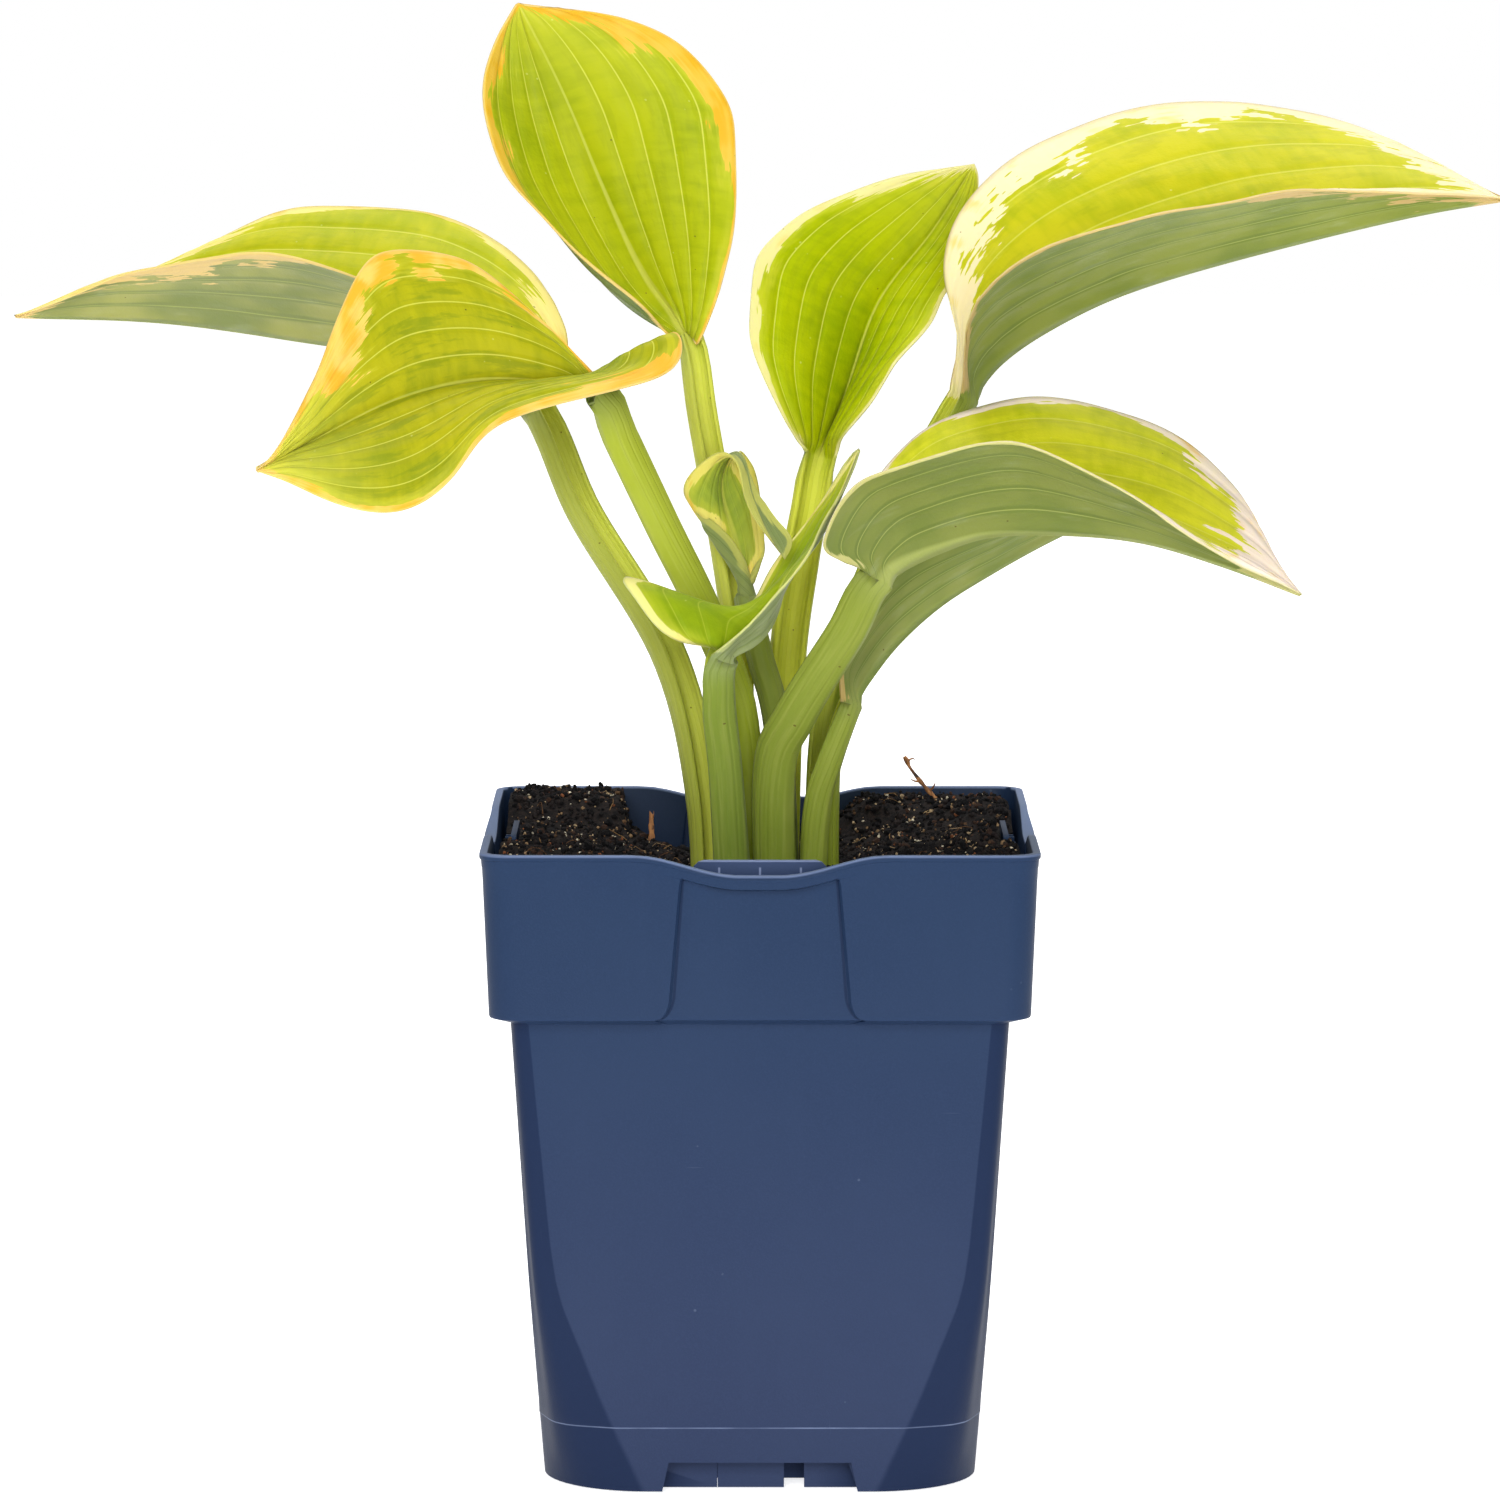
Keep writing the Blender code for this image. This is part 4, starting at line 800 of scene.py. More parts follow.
LEAVES = (
    Leaf(
        "leaf_far_left",
        ((-10.3, -3.6, 101), (-12, -2.6, 134), (-19, 1, 162), (-36, 6, 190), (-47, 13, 212), (-66, 18, 221),
         (-92, 20, 225), (-122, 20, 229), (-151.5, 18, 230)),
        4, (4.2, 4.4), ((0.3, -0.6, 0.5), (0.4, -0.4, 0.8)),
        ((0.05, -48, 8, 213), (0.1, -49, 2, 220), (0.17, -54, -4, 227), (0.25, -62, -8, 233),
         (0.33, -72, -11, 237), (0.52, -97, -11, 244), (0.67, -113, -6, 243), (0.74, -119, -2, 241),
         (0.82, -128, 4, 239), (0.96, -147, 16, 231)),
        ((0.09, -40, 24, 219), (0.14, -39, 31, 225), (0.27, -47, 42, 238), (0.42, -66, 48, 249),
         (0.58, -90, 46, 251), (0.66, -101, 42, 249), (0.8, -121, 31, 240), (0.94, -142, 21, 232)),
    ),
    Leaf(
        "leaf_front_left",
        ((-2.2, -3, 101), (-3.3, -4.2, 146), (-10, -7.5, 168), (-20, -12, 189), (-28, -16, 206),
         (-32.5, -20, 216), (-43, -25, 219), (-56, -29, 220), (-71, -36, 217), (-86, -44, 210),
         (-98, -51, 204)),
        5, (3.6, 4.8), ((0.1, 1, 0.2), (0.1, 0.5, 1)),
        ((0.02, -26, -18, 220), (0.05, -23, -16, 221), (0.08, -22, -15, 225), (0.14, -16, -18, 230),
         (0.2, -15, -22, 222), (0.235, -21, -26, 220), (0.35, -41, -36, 216), (0.45, -53, -43, 211),
         (0.56, -60, -49, 202), (0.63, -67, -51, 197), (0.71, -75, -53, 196), (0.79, -84, -53, 198),
         (0.88, -92, -53, 202)),
        ((0.07, -32, -21, 220), (0.26, -47, -22, 235), (0.4, -59, -26, 244), (0.54, -73, -32, 246),
         (0.6, -78, -35, 243), (0.73, -84, -42, 230), (0.79, -86, -45, 223), (0.93, -94, -50, 208)),
    ),
    Leaf(
        "leaf_upright",
        ((-6, 6, 101), (-5, 7, 153), (-6, 9, 173), (-12, 12, 209), (-15, 13, 226), (-24, 18, 239),
         (-32, 23, 256), (-40, 25, 275), (-49, 24, 293)),
        4, (3.6, 3.6), ((0.9, -0.5, 0.1), (0.5, -1, 0.3)),
        ((0.08, -18, 12, 226), (0.24, -26, 6, 235), (0.4, -39, 5, 246), (0.54, -50, 9, 257),
         (0.6, -53, 12, 263), (0.72, -56, 18, 275), (0.84, -54, 22, 284)),
        ((0.08, -13, 11, 224), (0.16, -11, 9, 228), (0.32, -7, 10, 239), (0.47, -5, 14, 250),
         (0.65, -5, 20, 268), (0.7, -6, 22, 273), (0.8, -16, 25, 285), (0.9, -31, 26, 291),
         (0.97, -44, 24, 292)),
        (-3.5, 0.5),
    ),
    Leaf(
        "leaf_centre",
        ((3.5, 7.5, 101), (5, 9.5, 155), (8, 11.5, 180), (10, 13, 191), (12, 16, 201), (17, 19, 212),
         (24, 24, 232), (35, 29, 246), (44, 34, 260)),
        4, (4.4, 5.2), ((0.3, -1, 0.2), (0.1, -1, 0.2)),
        ((0.16, 5, 9, 209), (0.32, -1, 6, 223), (0.4, -2, 6, 230), (0.54, -1, 11, 242), (0.6, 3, 15, 246),
         (0.66, 9, 19, 251), (0.78, 22, 27, 256), (0.84, 30, 30, 258)),
        ((0.08, 16, 11, 204), (0.16, 18, 7, 208), (0.24, 23, 6, 214), (0.32, 27, 8, 220),
         (0.48, 35, 17, 229), (0.55, 37, 23, 233), (0.62, 40, 27, 237), (0.78, 44, 33, 247),
         (0.93, 45, 34, 257)),
    ),
    Leaf(
        "leaf_far_right",
        ((13, 0.6, 101), (14, 3.5, 145), (21, 8, 171), (31, 12.5, 193), (42, 14, 213), (49, 12, 222),
         (61, 7, 230), (76, 2, 237), (103, -4, 245), (131, -9, 252), (148.5, -11, 255)),
        4, (4, 4), ((-0.3, -0.5, 0.6), (-0.3, -0.4, 0.9)),
        ((0.15, 40, 15, 228), (0.25, 37, 16, 239), (0.37, 41, 20, 252), (0.5, 56, 28, 264),
         (0.64, 83, 32, 273), (0.78, 111, 27, 271), (0.85, 124, 20, 267), (0.91, 133, 11, 263),
         (0.96, 140, 0, 258)),
        ((0.05, 41, 8, 218), (0.1, 41, 3, 224), (0.2, 43, -11, 235), (0.32, 53, -22, 244),
         (0.45, 70, -28, 251), (0.52, 80, -29, 254), (0.6, 91, -29, 255), (0.68, 103, -27, 257),
         (0.84, 126, -20, 257)),
    ),
    Leaf(
        "leaf_front_right",
        ((4.7, -10.2, 101), (3.7, -12.2, 139), (8, -15, 152), (18, -18, 169), (24, -20, 180),
         (37, -22, 187), (49, -24, 190), (73, -28, 189), (91, -30, 184), (107, -32, 178)),
        4, (5.2, 5.2), ((-0.5, 0.6, 0.5), (-0.3, 0, 1)),
        ((0.05, 22, -16, 186), (0.1, 21, -10, 190), (0.16, 22, -5, 196), (0.29, 29, 2, 205),
         (0.36, 36, 4, 210), (0.5, 55, 8, 214), (0.56, 66, 8, 213), (0.68, 83, 3, 208), (0.8, 96, -7, 196),
         (0.86, 99, -13, 191), (0.91, 101, -19, 185)),
        ((0.06, 17, -26, 184), (0.14, 12, -30, 187), (0.23, 15, -35, 196), (0.28, 19, -38, 201),
         (0.33, 25, -42, 203), (0.43, 42, -47, 209), (0.49, 51, -48, 210), (0.61, 69, -47, 201),
         (0.73, 83, -43, 191), (0.86, 96, -39, 184)),
    ),
    Leaf(
        "leaf_low_right",
        ((10.9, -6.5, 101), (11.8, -6.2, 130), (14.5, -6, 142), (18.6, -5, 153), (22, -5, 159),
         (27.5, -5, 166), (36, -4, 173.5), (45, -3, 179), (56, -1, 185), (67, 1, 190), (81, 2, 195)),
        3, (3, 3.2), ((-0.5, 0.6, 0.5), (-0.3, 0, 1)),
        ((0.06, 21, -2, 156), (0.3, 31, 7, 177), (0.5, 46, 15, 188), (0.6, 55, 16, 191),
         (0.7, 62, 14, 193)),
        ((0.06, 16, -8, 156), (0.18, 17, -10, 168), (0.33, 29, -12, 183), (0.42, 37, -14, 188),
         (0.52, 48, -16, 191), (0.62, 58, -15, 193), (0.82, 71, -8, 195)),
    ),
    Leaf(
        "leaf_young_back",
        ((5.8, 0.4, 101), (3.8, 1.4, 145), (0, 2, 162), (-3, 2, 174), (-4, 4, 181), (-6, 5, 189),
         (-8, 5, 195), (-7, 3, 201), (-5, -1, 204), (-3, -5, 202), (-2, -9, 196), (1, -12, 189),
         (5, -13, 183)),
        3, (3.2, 3.2), ((0, 1, 0.2), (0, 1, 0)),
        ((0.09, -4, 1, 184), (0.14, -7, 3, 187), (0.19, -10, 4, 190), (0.29, -15, 5, 193),
         (0.39, -15, 2, 198), (0.54, -8, -4, 204), (0.65, -4, -8, 201), (0.72, -4, -10, 197),
         (0.8, -1, -12, 191)),
        ((0.06, 0, 3, 181), (0.14, 1, 5, 185), (0.3, 0, 6, 195), (0.38, -1, 4, 200), (0.52, -4, -1, 204),
         (0.66, -2, -7, 198), (0.8, 3, -11, 191), (0.91, 7, -12, 187)),
        (0, 0), 0.2,
    ),
    Leaf(
        "leaf_young_front",
        ((-3.8, -11.4, 101), (-6.5, -14.2, 139), (-8, -18, 157), (-7, -20, 164), (-3, -20, 166),
         (0, -19, 168), (3, -17, 173), (4, -15, 178), (7, -12, 182), (11, -8, 186), (15, -3, 193),
         (20, 4, 204)),
        3, (4.6, 4.2), ((-1, 0.3, 0.1), (-0.45, -0.25, 0.85)),
        ((0.11, -17, -26, 168), (0.15, -21, -27, 171), (0.23, -26, -26, 179), (0.27, -29, -24, 181),
         (0.31, -25, -21, 181), (0.39, -17, -15, 174), (0.47, -9, -12, 167), (0.58, -2, -9, 173),
         (0.7, 2, -5, 181), (0.84, 11, 0, 191), (0.92, 15, 2, 198)),
        ((0.11, -5, -26, 169), (0.3, 2, -25, 176), (0.6, 10, -16, 185), (0.7, 12, -11, 189),
         (0.9, 18, 0, 199)),
        (0, 0), 0.2,
    ),
)


@dataclass
class Look:
    """A leaf's colours, and how wide its pale margin is along each half, in millimetres."""

    green: tuple
    deep: tuple
    edge: tuple
    gold: tuple
    under: tuple
    under_deep: tuple
    under_edge: tuple
    stem: tuple
    stem_foot: tuple
    left: tuple
    right: tuple
    gold_share: float = 0.5
    veins: int = VEINS
    slot: str = "leaf_cream_edge"
    spots: float = 0.5
    bloom: float = 0.0
    mottle: float = 0.3
    jag: float = 1.0  # how ragged the pale margin is
    spine: float = 0.15  # how pale the midrib is from below
    # The paler yellow towards the tip is partly the leaf's own colour and partly painted light over the shade
    # of a folded tip.
    tip: float = 0.25  # how much yellower the blade is towards its tip


LOOKS = {
    "leaf_far_left": Look(
        (202, 200, 22), (176, 184, 14), (246, 228, 138), (242, 208, 104), (158, 160, 92), (126, 136, 80),
        (222, 190, 122), (176, 182, 62), (176, 184, 56),
        ((0, 1.0), (0.4, 1.0), (0.48, 3.0), (0.56, 8.0), (0.66, 6.0), (0.72, 9.0), (0.8, 6.0), (0.9, 3.0),
         (1, 1)),
        ((0, 6.0), (0.1, 7.0), (0.22, 5.0), (0.35, 1.6), (0.5, 0.8), (0.7, 1.8), (0.8, 3.0), (0.9, 1.2),
         (1, 2)),
        0.35,
    ),
    "leaf_front_left": Look(
        (182, 178, 22), (146, 156, 20), (242, 204, 104), (236, 180, 52), (146, 156, 80), (120, 136, 66),
        (238, 208, 140), (178, 188, 46), (160, 178, 30),
        ((0, 0.4), (0.16, 0.6), (0.22, 3.2), (0.32, 2.8), (0.42, 1.2), (0.6, 0.9), (0.8, 1.6), (0.9, 0.9),
         (1, 1.2)),
        ((0, 0.4), (0.14, 0.6), (0.2, 1.6), (0.3, 2.4), (0.38, 1.4), (0.46, 5.0), (0.52, 3.0), (0.58, 7.0),
         (0.64, 2.6), (0.7, 8.5), (0.77, 7.0), (0.83, 1.6), (0.92, 0.8), (1, 1.2)),
        0.8, slot="leaf_gold_edge", mottle=1.0, tip=0.6,
    ),
    "leaf_upright": Look(
        (180, 188, 16), (152, 168, 12), (234, 192, 72), (230, 178, 40), (132, 146, 84), (112, 130, 74),
        (236, 206, 130), (226, 228, 84), (206, 212, 74),
        ((0, 0.5), (0.35, 0.8), (0.5, 2.6), (0.62, 4.4), (0.7, 3.0), (0.8, 4.0), (0.9, 1.4), (1, 0.6)),
        ((0, 0.4), (0.5, 0.6), (0.6, 2.6), (0.68, 5.0), (0.78, 3.4), (0.86, 5.4), (0.93, 3.0), (1, 0.8)),
        0.8, slot="leaf_gold_edge",
    ),
    "leaf_centre": Look(
        (178, 190, 0), (146, 168, 0), (230, 222, 150), (228, 206, 110), (132, 148, 84), (112, 132, 68),
        (232, 226, 160), (250, 252, 70), (210, 222, 46),
        ((0, 0.6), (0.25, 0.8), (0.38, 2.0), (0.46, 1.2), (0.56, 3.6), (0.66, 1.5), (0.8, 2.6), (1, 1.0)),
        ((0, 0.5), (0.5, 0.6), (0.8, 1.0), (1, 0.8)),
        0.2, spots=1.0,
    ),
    "leaf_far_right": Look(
        (212, 206, 30), (184, 190, 18), (252, 236, 190), (246, 220, 130), (136, 146, 66), (112, 128, 52),
        (200, 170, 112), (184, 196, 60), (160, 178, 50),
        ((0, 8.0), (0.08, 9.0), (0.18, 8.0), (0.26, 6.0), (0.33, 9.0), (0.42, 6.0), (0.5, 9.0), (0.58, 6.0),
         (0.68, 8.0), (0.78, 4.5), (0.88, 6.0), (1, 6)),
        ((0, 1.2), (0.5, 1.2), (0.62, 1.8), (0.68, 7.0), (0.76, 4.4), (0.84, 7.0), (0.92, 4.0), (1, 4)),
        0.3, spots=1.0,
    ),
    "leaf_front_right": Look(
        (222, 220, 44), (192, 198, 24), (254, 236, 220), (250, 204, 96), (131, 140, 70), (112, 126, 60),
        (196, 190, 124), (146, 160, 54), (124, 144, 38),
        ((0, 0.9), (0.3, 1.2), (0.5, 2.4), (0.6, 1.4), (0.7, 3.6), (0.78, 8.0), (0.9, 9.0), (1, 9)),
        ((0, 0.8), (0.5, 0.9), (0.75, 1.4), (0.84, 3.0), (0.9, 8.0), (1, 9)),
        0.3, spots=0.8, spine=0.6,
    ),
    "leaf_low_right": Look(
        (180, 188, 30), (150, 168, 26), (232, 208, 130), (214, 160, 70), (142, 150, 80), (116, 132, 64),
        (206, 176, 110), (154, 168, 56), (140, 158, 46),
        ((0, 0.8), (1, 0.8)),
        ((0, 1.2), (1, 1.2)),
        0.5,
    ),
    "leaf_young_back": Look(
        (166, 182, 60), (136, 156, 56), (232, 220, 112), (226, 190, 70), (140, 152, 88), (112, 128, 74),
        (186, 186, 96), (146, 160, 50), (120, 142, 30),
        ((0, 1.0), (0.3, 1.6), (0.5, 2.2), (1, 1.0)),
        ((0, 1.2), (0.3, 3.0), (0.45, 4.0), (0.6, 1.6), (1, 1.0)),
        0.5, veins=YOUNG_VEINS, slot="leaf_young", bloom=1.0, jag=0.35,
    ),
    "leaf_young_front": Look(
        (158, 178, 20), (128, 154, 12), (236, 228, 140), (232, 208, 90), (150, 162, 112), (124, 140, 84),
        (190, 196, 130), (132, 152, 36), (112, 136, 20),
        ((0, 0.8), (0.15, 1.6), (0.3, 2.4), (0.5, 1.2), (1, 0.8)),
        ((0, 0.6), (0.5, 0.8), (1, 0.6)),
        0.3, veins=YOUNG_VEINS, slot="leaf_young", bloom=1.0, jag=0.35,
    ),
}


def lengths_along(points, axis):
    """The running length along a grid of points, from its first row or column."""
    steps = np.linalg.norm(np.diff(points, axis=axis), axis=-1)
    zero = np.zeros_like(np.take(steps, [0], axis=axis))
    return np.concatenate((zero, np.cumsum(steps, axis=axis)), axis=axis)


def margin_distance(points, row, mine, column):
    """How far each point lies from its own half's margin, and where along the blade that margin is."""
    blade = row >= 0
    line, place = points[blade, column], row[blade]
    start, step = line[:-1], np.diff(line, axis=0)
    half = points[:, mine].reshape(-1, 1, 3)
    share = ((half - start) * step).sum(axis=-1) / np.maximum((step**2).sum(axis=-1), 1e-9)
    share = np.clip(share, 0, 1)
    away = np.linalg.norm(half - start - share[..., None] * step, axis=-1)
    nearest = away.argmin(axis=1)
    each = np.arange(len(nearest))
    spot = place[nearest] + share[each, nearest] * np.diff(place)[nearest]
    shape = (len(row), int(mine.sum()))
    return away[each, nearest].reshape(shape), spot.reshape(shape)


def wobble(x, y, seed):
    """Smooth made-up noise between about -1 and 1, from a few sines that don't line up."""
    total = np.zeros_like(x)
    rng = np.random.default_rng(seed)
    for size in (1.0, 1.7, 2.9, 4.1):
        a, b, c = rng.uniform(0.6, 1.4, 3)
        wave = np.sin(x * a * size + 3 * np.sin(y * b * size * 0.6) + c * 9)
        total += wave * np.cos(y * c * size + a * 7) / size
    return total / 1.6


def blade_relief(leaf, look, points, t, row):
    """How far the blade's surface swells: creased at the veins, puckered between them."""
    along, across = lengths_along(points, 0), lengths_along(points, 1)
    share = np.abs(t)[None, :]
    ridge = np.abs(np.sin(np.pi * look.veins * share)) ** 0.8
    envelope = smoothstep(row, 0.02, 0.22) * (1 - smoothstep(row, 0.86, 1.0))
    fade = (1 - smoothstep(share, 0.86, 1.0)) * smoothstep(share, 0.0, 0.06)
    seed = len(leaf.name) * 7 + leaf.junction
    bumps = wobble(along / 5.0, share * look.veins * 2.2 + np.sign(t)[None, :] * 5, seed)
    swell = wobble(along / 9.0, across / 9.0, seed + 1) * smoothstep(share, 0.0, 0.2)
    relief = PUCKER * look.jag * ridge * (0.75 + 0.5 * bumps) * fade + SWELL * swell
    return relief * envelope[:, None]


def fine_thickness(leaf, t, row):
    """The blade thins towards its margin, and the petiole keeps its thickness."""
    thick = leaf_thickness(leaf, t, row)
    thin = smoothstep(np.abs(t)[None, :], 0.45, 1.0) * smoothstep(row, -0.02, 0.12)[:, None]
    return lerp(thick, np.minimum(thick, EDGE_THIN), thin)


def leaf_values(look, points, t, row):
    """What the material needs at every point of the grid, in the order of its rows."""
    rim, place = np.zeros(points.shape[:2]), np.zeros(points.shape[:2])
    band = np.zeros(points.shape[:2])
    for mine, column, table in ((t < 0, 0, look.left), (t >= 0, -1, look.right)):
        rim[:, mine], place[:, mine] = margin_distance(points, row, mine, column)
        band[:, mine] = np.interp(place[:, mine], *zip(*table))
    middle = [len(t) // 2]
    across, along = lengths_along(points, 1), lengths_along(points, 0)
    on_blade = smoothstep(row, -0.06, 0.05)[:, None]
    flat = np.ones(points.shape[:2])
    return {
        "rim": rim,
        "band": band * on_blade - 3.0 * (1 - on_blade),
        "vein": np.abs(t)[None, :] * look.veins * flat,
        "across": across - across[:, middle],
        "along": along[:, middle] * flat,
        "place": row[:, None] * flat,
    }


def evened(points, start):
    """Rounds off the corners that a leaf's short tables leave along its blade, from row start on."""
    for _ in range(EVENING):
        points[start + 1:-1] = (points[start:-2] + 2 * points[start + 1:-1] + points[start + 2:]) / 4
    return points


def sheet_faces(rows, columns):
    """The faces of a closed sheet of two grids whose last row is a single point, the tip."""
    count = (rows - 1) * columns + 1
    index = np.arange((rows - 1) * columns).reshape(rows - 1, columns)
    index = np.vstack((index, np.full(columns, count - 1)))
    faces = []
    for i in range(rows - 1):
        for j in range(columns - 1):
            quad = (index[i, j], index[i, j + 1], index[i + 1, j + 1], index[i + 1, j])
            faces.append(quad)
            faces.append([k + count for k in reversed(quad)])
        for j, step in ((0, 1), (columns - 1, -1)):
            edge = (index[i, j], index[i + 1, j], index[i + 1, j] + count, index[i, j] + count)
            faces.append(edge[::step])
    for j in range(columns - 1):
        faces.append((index[0, j + 1], index[0, j], index[0, j] + count, index[0, j + 1] + count))
    return [tuple(dict.fromkeys(int(k) for k in face)) for face in faces]


def fine_leaf(leaf, look):
    """A closed sheet as fine as its veins, with what its material needs at every point."""
    petiole_rows, blade_rows = LEAF_ROWS if look.veins == VEINS else YOUNG_ROWS
    columns = 2 * look.veins * COLUMNS_PER_VEIN + 1
    upper, t, row = leaf_grid(leaf, petiole_rows, blade_rows, columns)
    upper = evened(upper, petiole_rows)
    normals = grid_normals(upper)
    values = leaf_values(look, upper, t, row)
    relief = blade_relief(leaf, look, upper, t, row)
    lower = upper + normals * (relief - fine_thickness(leaf, t, row))[..., None]
    upper = upper + normals * relief[..., None]
    middle = columns // 2

    def to_tip(grid):
        return np.concatenate((grid[:-1].reshape(-1, *grid.shape[2:]), grid[-1:, middle]))

    mesh = bpy.data.meshes.new(leaf.name + "_fine")
    mesh.from_pydata(np.vstack((to_tip(upper), to_tip(lower))) * MM, [], sheet_faces(len(row), columns))
    for name, grid in values.items():
        add_attribute(mesh, name, np.tile(to_tip(grid), 2))
    add_attribute(mesh, "under", np.repeat((0, 1), len(mesh.vertices) // 2))
    smooth_shading(mesh)
    mesh.update()
    return link_object(leaf.name + "_fine", mesh, leaf_material(leaf.name, look))


def leaf_material(name, look):
    """Veined green with a streaky pale margin above and a duller glaucous face below, with painted shade in
    the vein creases, painted sheen streaks below, painted light on the petiole's channel and, in part,
    towards the tip.
    """
    g = Graph(name + "_look", 0.42)
    rim, band, vein = g.attribute("rim"), g.attribute("band"), g.attribute("vein")
    across, along = g.attribute("across"), g.attribute("along")
    place, under = g.attribute("place"), g.attribute("under")
    side = g.math("SIGN", across)
    flat = g.vector(across, along, side)
    streak = g.vector(vein * 2.2, along * 0.075, side)
    # where the pale margin lies
    jag = g.noise(streak, 1.0, 3.0, 0.6) - 0.5
    fine_jag = g.noise(g.vector(vein * 8.0, along * 0.12, side), 1.0) - 0.5
    reach = band * (jag * (3.4 * look.jag) + 1.0) + fine_jag * band * (1.2 * look.jag)
    inside = reach - rim
    margin = g.between(inside, -0.12, 0.18)
    halo = g.between(inside + jag * 3.0, -2.6, 0.6)
    # the veins, the midrib and the spots
    near = abs(vein - g.math("ROUND", vein))
    valley = g.under(near, 0.02, 0.22)
    line = g.under(near, 0.012, 0.034) * g.between(vein, 0.5, 0.6)
    rib_edges = g.between(place, 0.0, 0.7, 1.5, 0.2) * 0.5, g.between(place, 0.0, 0.7, 1.7, 0.35)
    rib = g.under(abs(across), *rib_edges)
    spine_edges = g.between(place, 0.0, 0.6, 1.6, 0.3), g.between(place, 0.0, 0.6, 3.4, 0.7)
    spine = g.under(abs(across), *spine_edges)
    spot = g.under(g.cells(g.stretch(flat, 1.0, 1.0, 7.0), 0.33), 0.05, 0.1)
    patch = g.between(g.noise(flat, 0.11), 0.5, 0.62)
    # the upper face
    large = g.noise(flat, 0.045, 3.0)
    wrinkle = g.noise(g.vector(across * 0.12, along * 0.42, side), 1.0, 3.0)
    patchy = g.between(g.noise(streak, 0.8, 4.0, 0.65), 0.5, 0.62)
    green = g.coats(
        look.deep,
        (g.between(large + wrinkle * 0.62, 0.5, 1.0), look.green),
        (patchy * (look.mottle * 0.55), (122, 140, 22)),
        (halo * 0.35, (222, 214, 70)),
        # paler yellow towards the tip: partly own colour, partly painted light
        (g.between(place, 0.62, 0.95) * look.tip, (226, 222, 84)),
        # painted shade in the creases along the veins
        (valley * 0.2, look.deep),
        (line * (0.6 * look.jag), (228, 226, 96)),
        (rib * g.between(place, 0.2, 0.9, 0.6, 0.45), (216, 216, 96)),
        (spot * patch * (0.55 * look.spots), (236, 236, 150)),
    )
    start = 0.66 - 0.35 * look.gold_share
    golden = g.between(g.noise(flat, 0.12) + fine_jag * 0.35, start, start + 0.26)
    upper = g.mix(margin, green, g.mix(golden, look.edge, look.gold))
    # the underside
    # painted sheen: pale streaks on the underside, stronger on a leaf with a waxy bloom, which is its own
    # colour
    sheen_and_bloom_streaks = g.between(g.noise(g.vector(across * 0.3, along * 0.1, side), 1.0, 4.0), 0.55, 0.8)
    below = g.coats(
        look.under_deep,
        # the underside also gets painted shade in the vein creases
        (g.between(large + valley * -0.25, 0.3, 0.62), look.under),
        (line * 0.5, (180, 184, 104)),
        # painted sheen streaks, more of them where there is bloom
        (sheen_and_bloom_streaks * (0.16 + 0.3 * look.bloom), (186, 194, 160)),
        (spine * look.spine, (176, 184, 106)),
        (margin * 0.9, look.under_edge),
    )
    # the petiole, paler towards the blade, with fine lines along it
    fibre = g.noise(g.vector(across * 2.2, along * 0.05, under), 1.0, 3.0)
    stem = g.coats(
        look.stem_foot,
        (g.between(place, -1.0, -0.15), look.stem),
        (g.between(fibre, 0.4, 0.75, 0.0, 0.22), (216, 218, 120)),
    )
    # painted light: the channel's face is mixed towards a pale yellow-green as if lit through, and the outer
    # face towards the underside's darker green, partly its own colour and partly painted shade
    stem = g.mix(under, g.mix(0.62, stem, (226, 232, 96)), g.mix(0.3, stem, look.under_deep))
    speck = g.under(g.cells(g.stretch(flat, 1.0, 1.0, 9.0), 0.16), 0.022, 0.035)
    outline = g.under(rim, 0.0, 0.45) * g.between(place, 0.0, 0.05)
    skin = g.coats(
        stem,
        (g.between(place, -0.1, 0.06), g.mix(under, upper, below)),
        (speck * 0.75, (92, 70, 30)),
        (outline * 0.55, look.under_edge),
    )
    g.set("Base Color", skin)
    g.bump(g.noise(flat, 1.6, 3.0, 0.6) * 0.35 + valley * -0.5, 0.35, 0.0006)
    g.set("Roughness", g.noise(flat, 0.5, 3.0) * 0.18 + 0.34)
    g.set("Specular IOR Level", 0.07)
    g.set("Subsurface Weight", 0.3)
    g.set("Subsurface Radius", (0.9, 1.0, 0.25))
    g.set("Subsurface Scale", 0.0012)
    g.set("Sheen Weight", 0.01 + 0.05 * look.bloom)
    return g.material


# ---- the soil ----
SOIL_CLEAR = 0.35
SOIL_LEVEL = 119.5
SOIL_HEAP = 6.5  # how much higher it lies towards the corners
HEAP_ACROSS = (14.0, 40.0)  # it rises between these distances from the middle in X
HEAP_ALONG = (8.0, 33.0)  # and between these in Y, from half its height
SOIL_EDGE = 14.0  # half the width over which it stays behind a label pocket
SOIL_TOP_HALF = 51.8
SOIL_CORNER = 6.5
SOIL_FOOT_CORNER = 19.5
SOIL_LEDGE_HALF = 50.6
POCKET_CLEAR_HALF = 48.5
SOIL_FLOOR = SKIRT + WALL + GAP
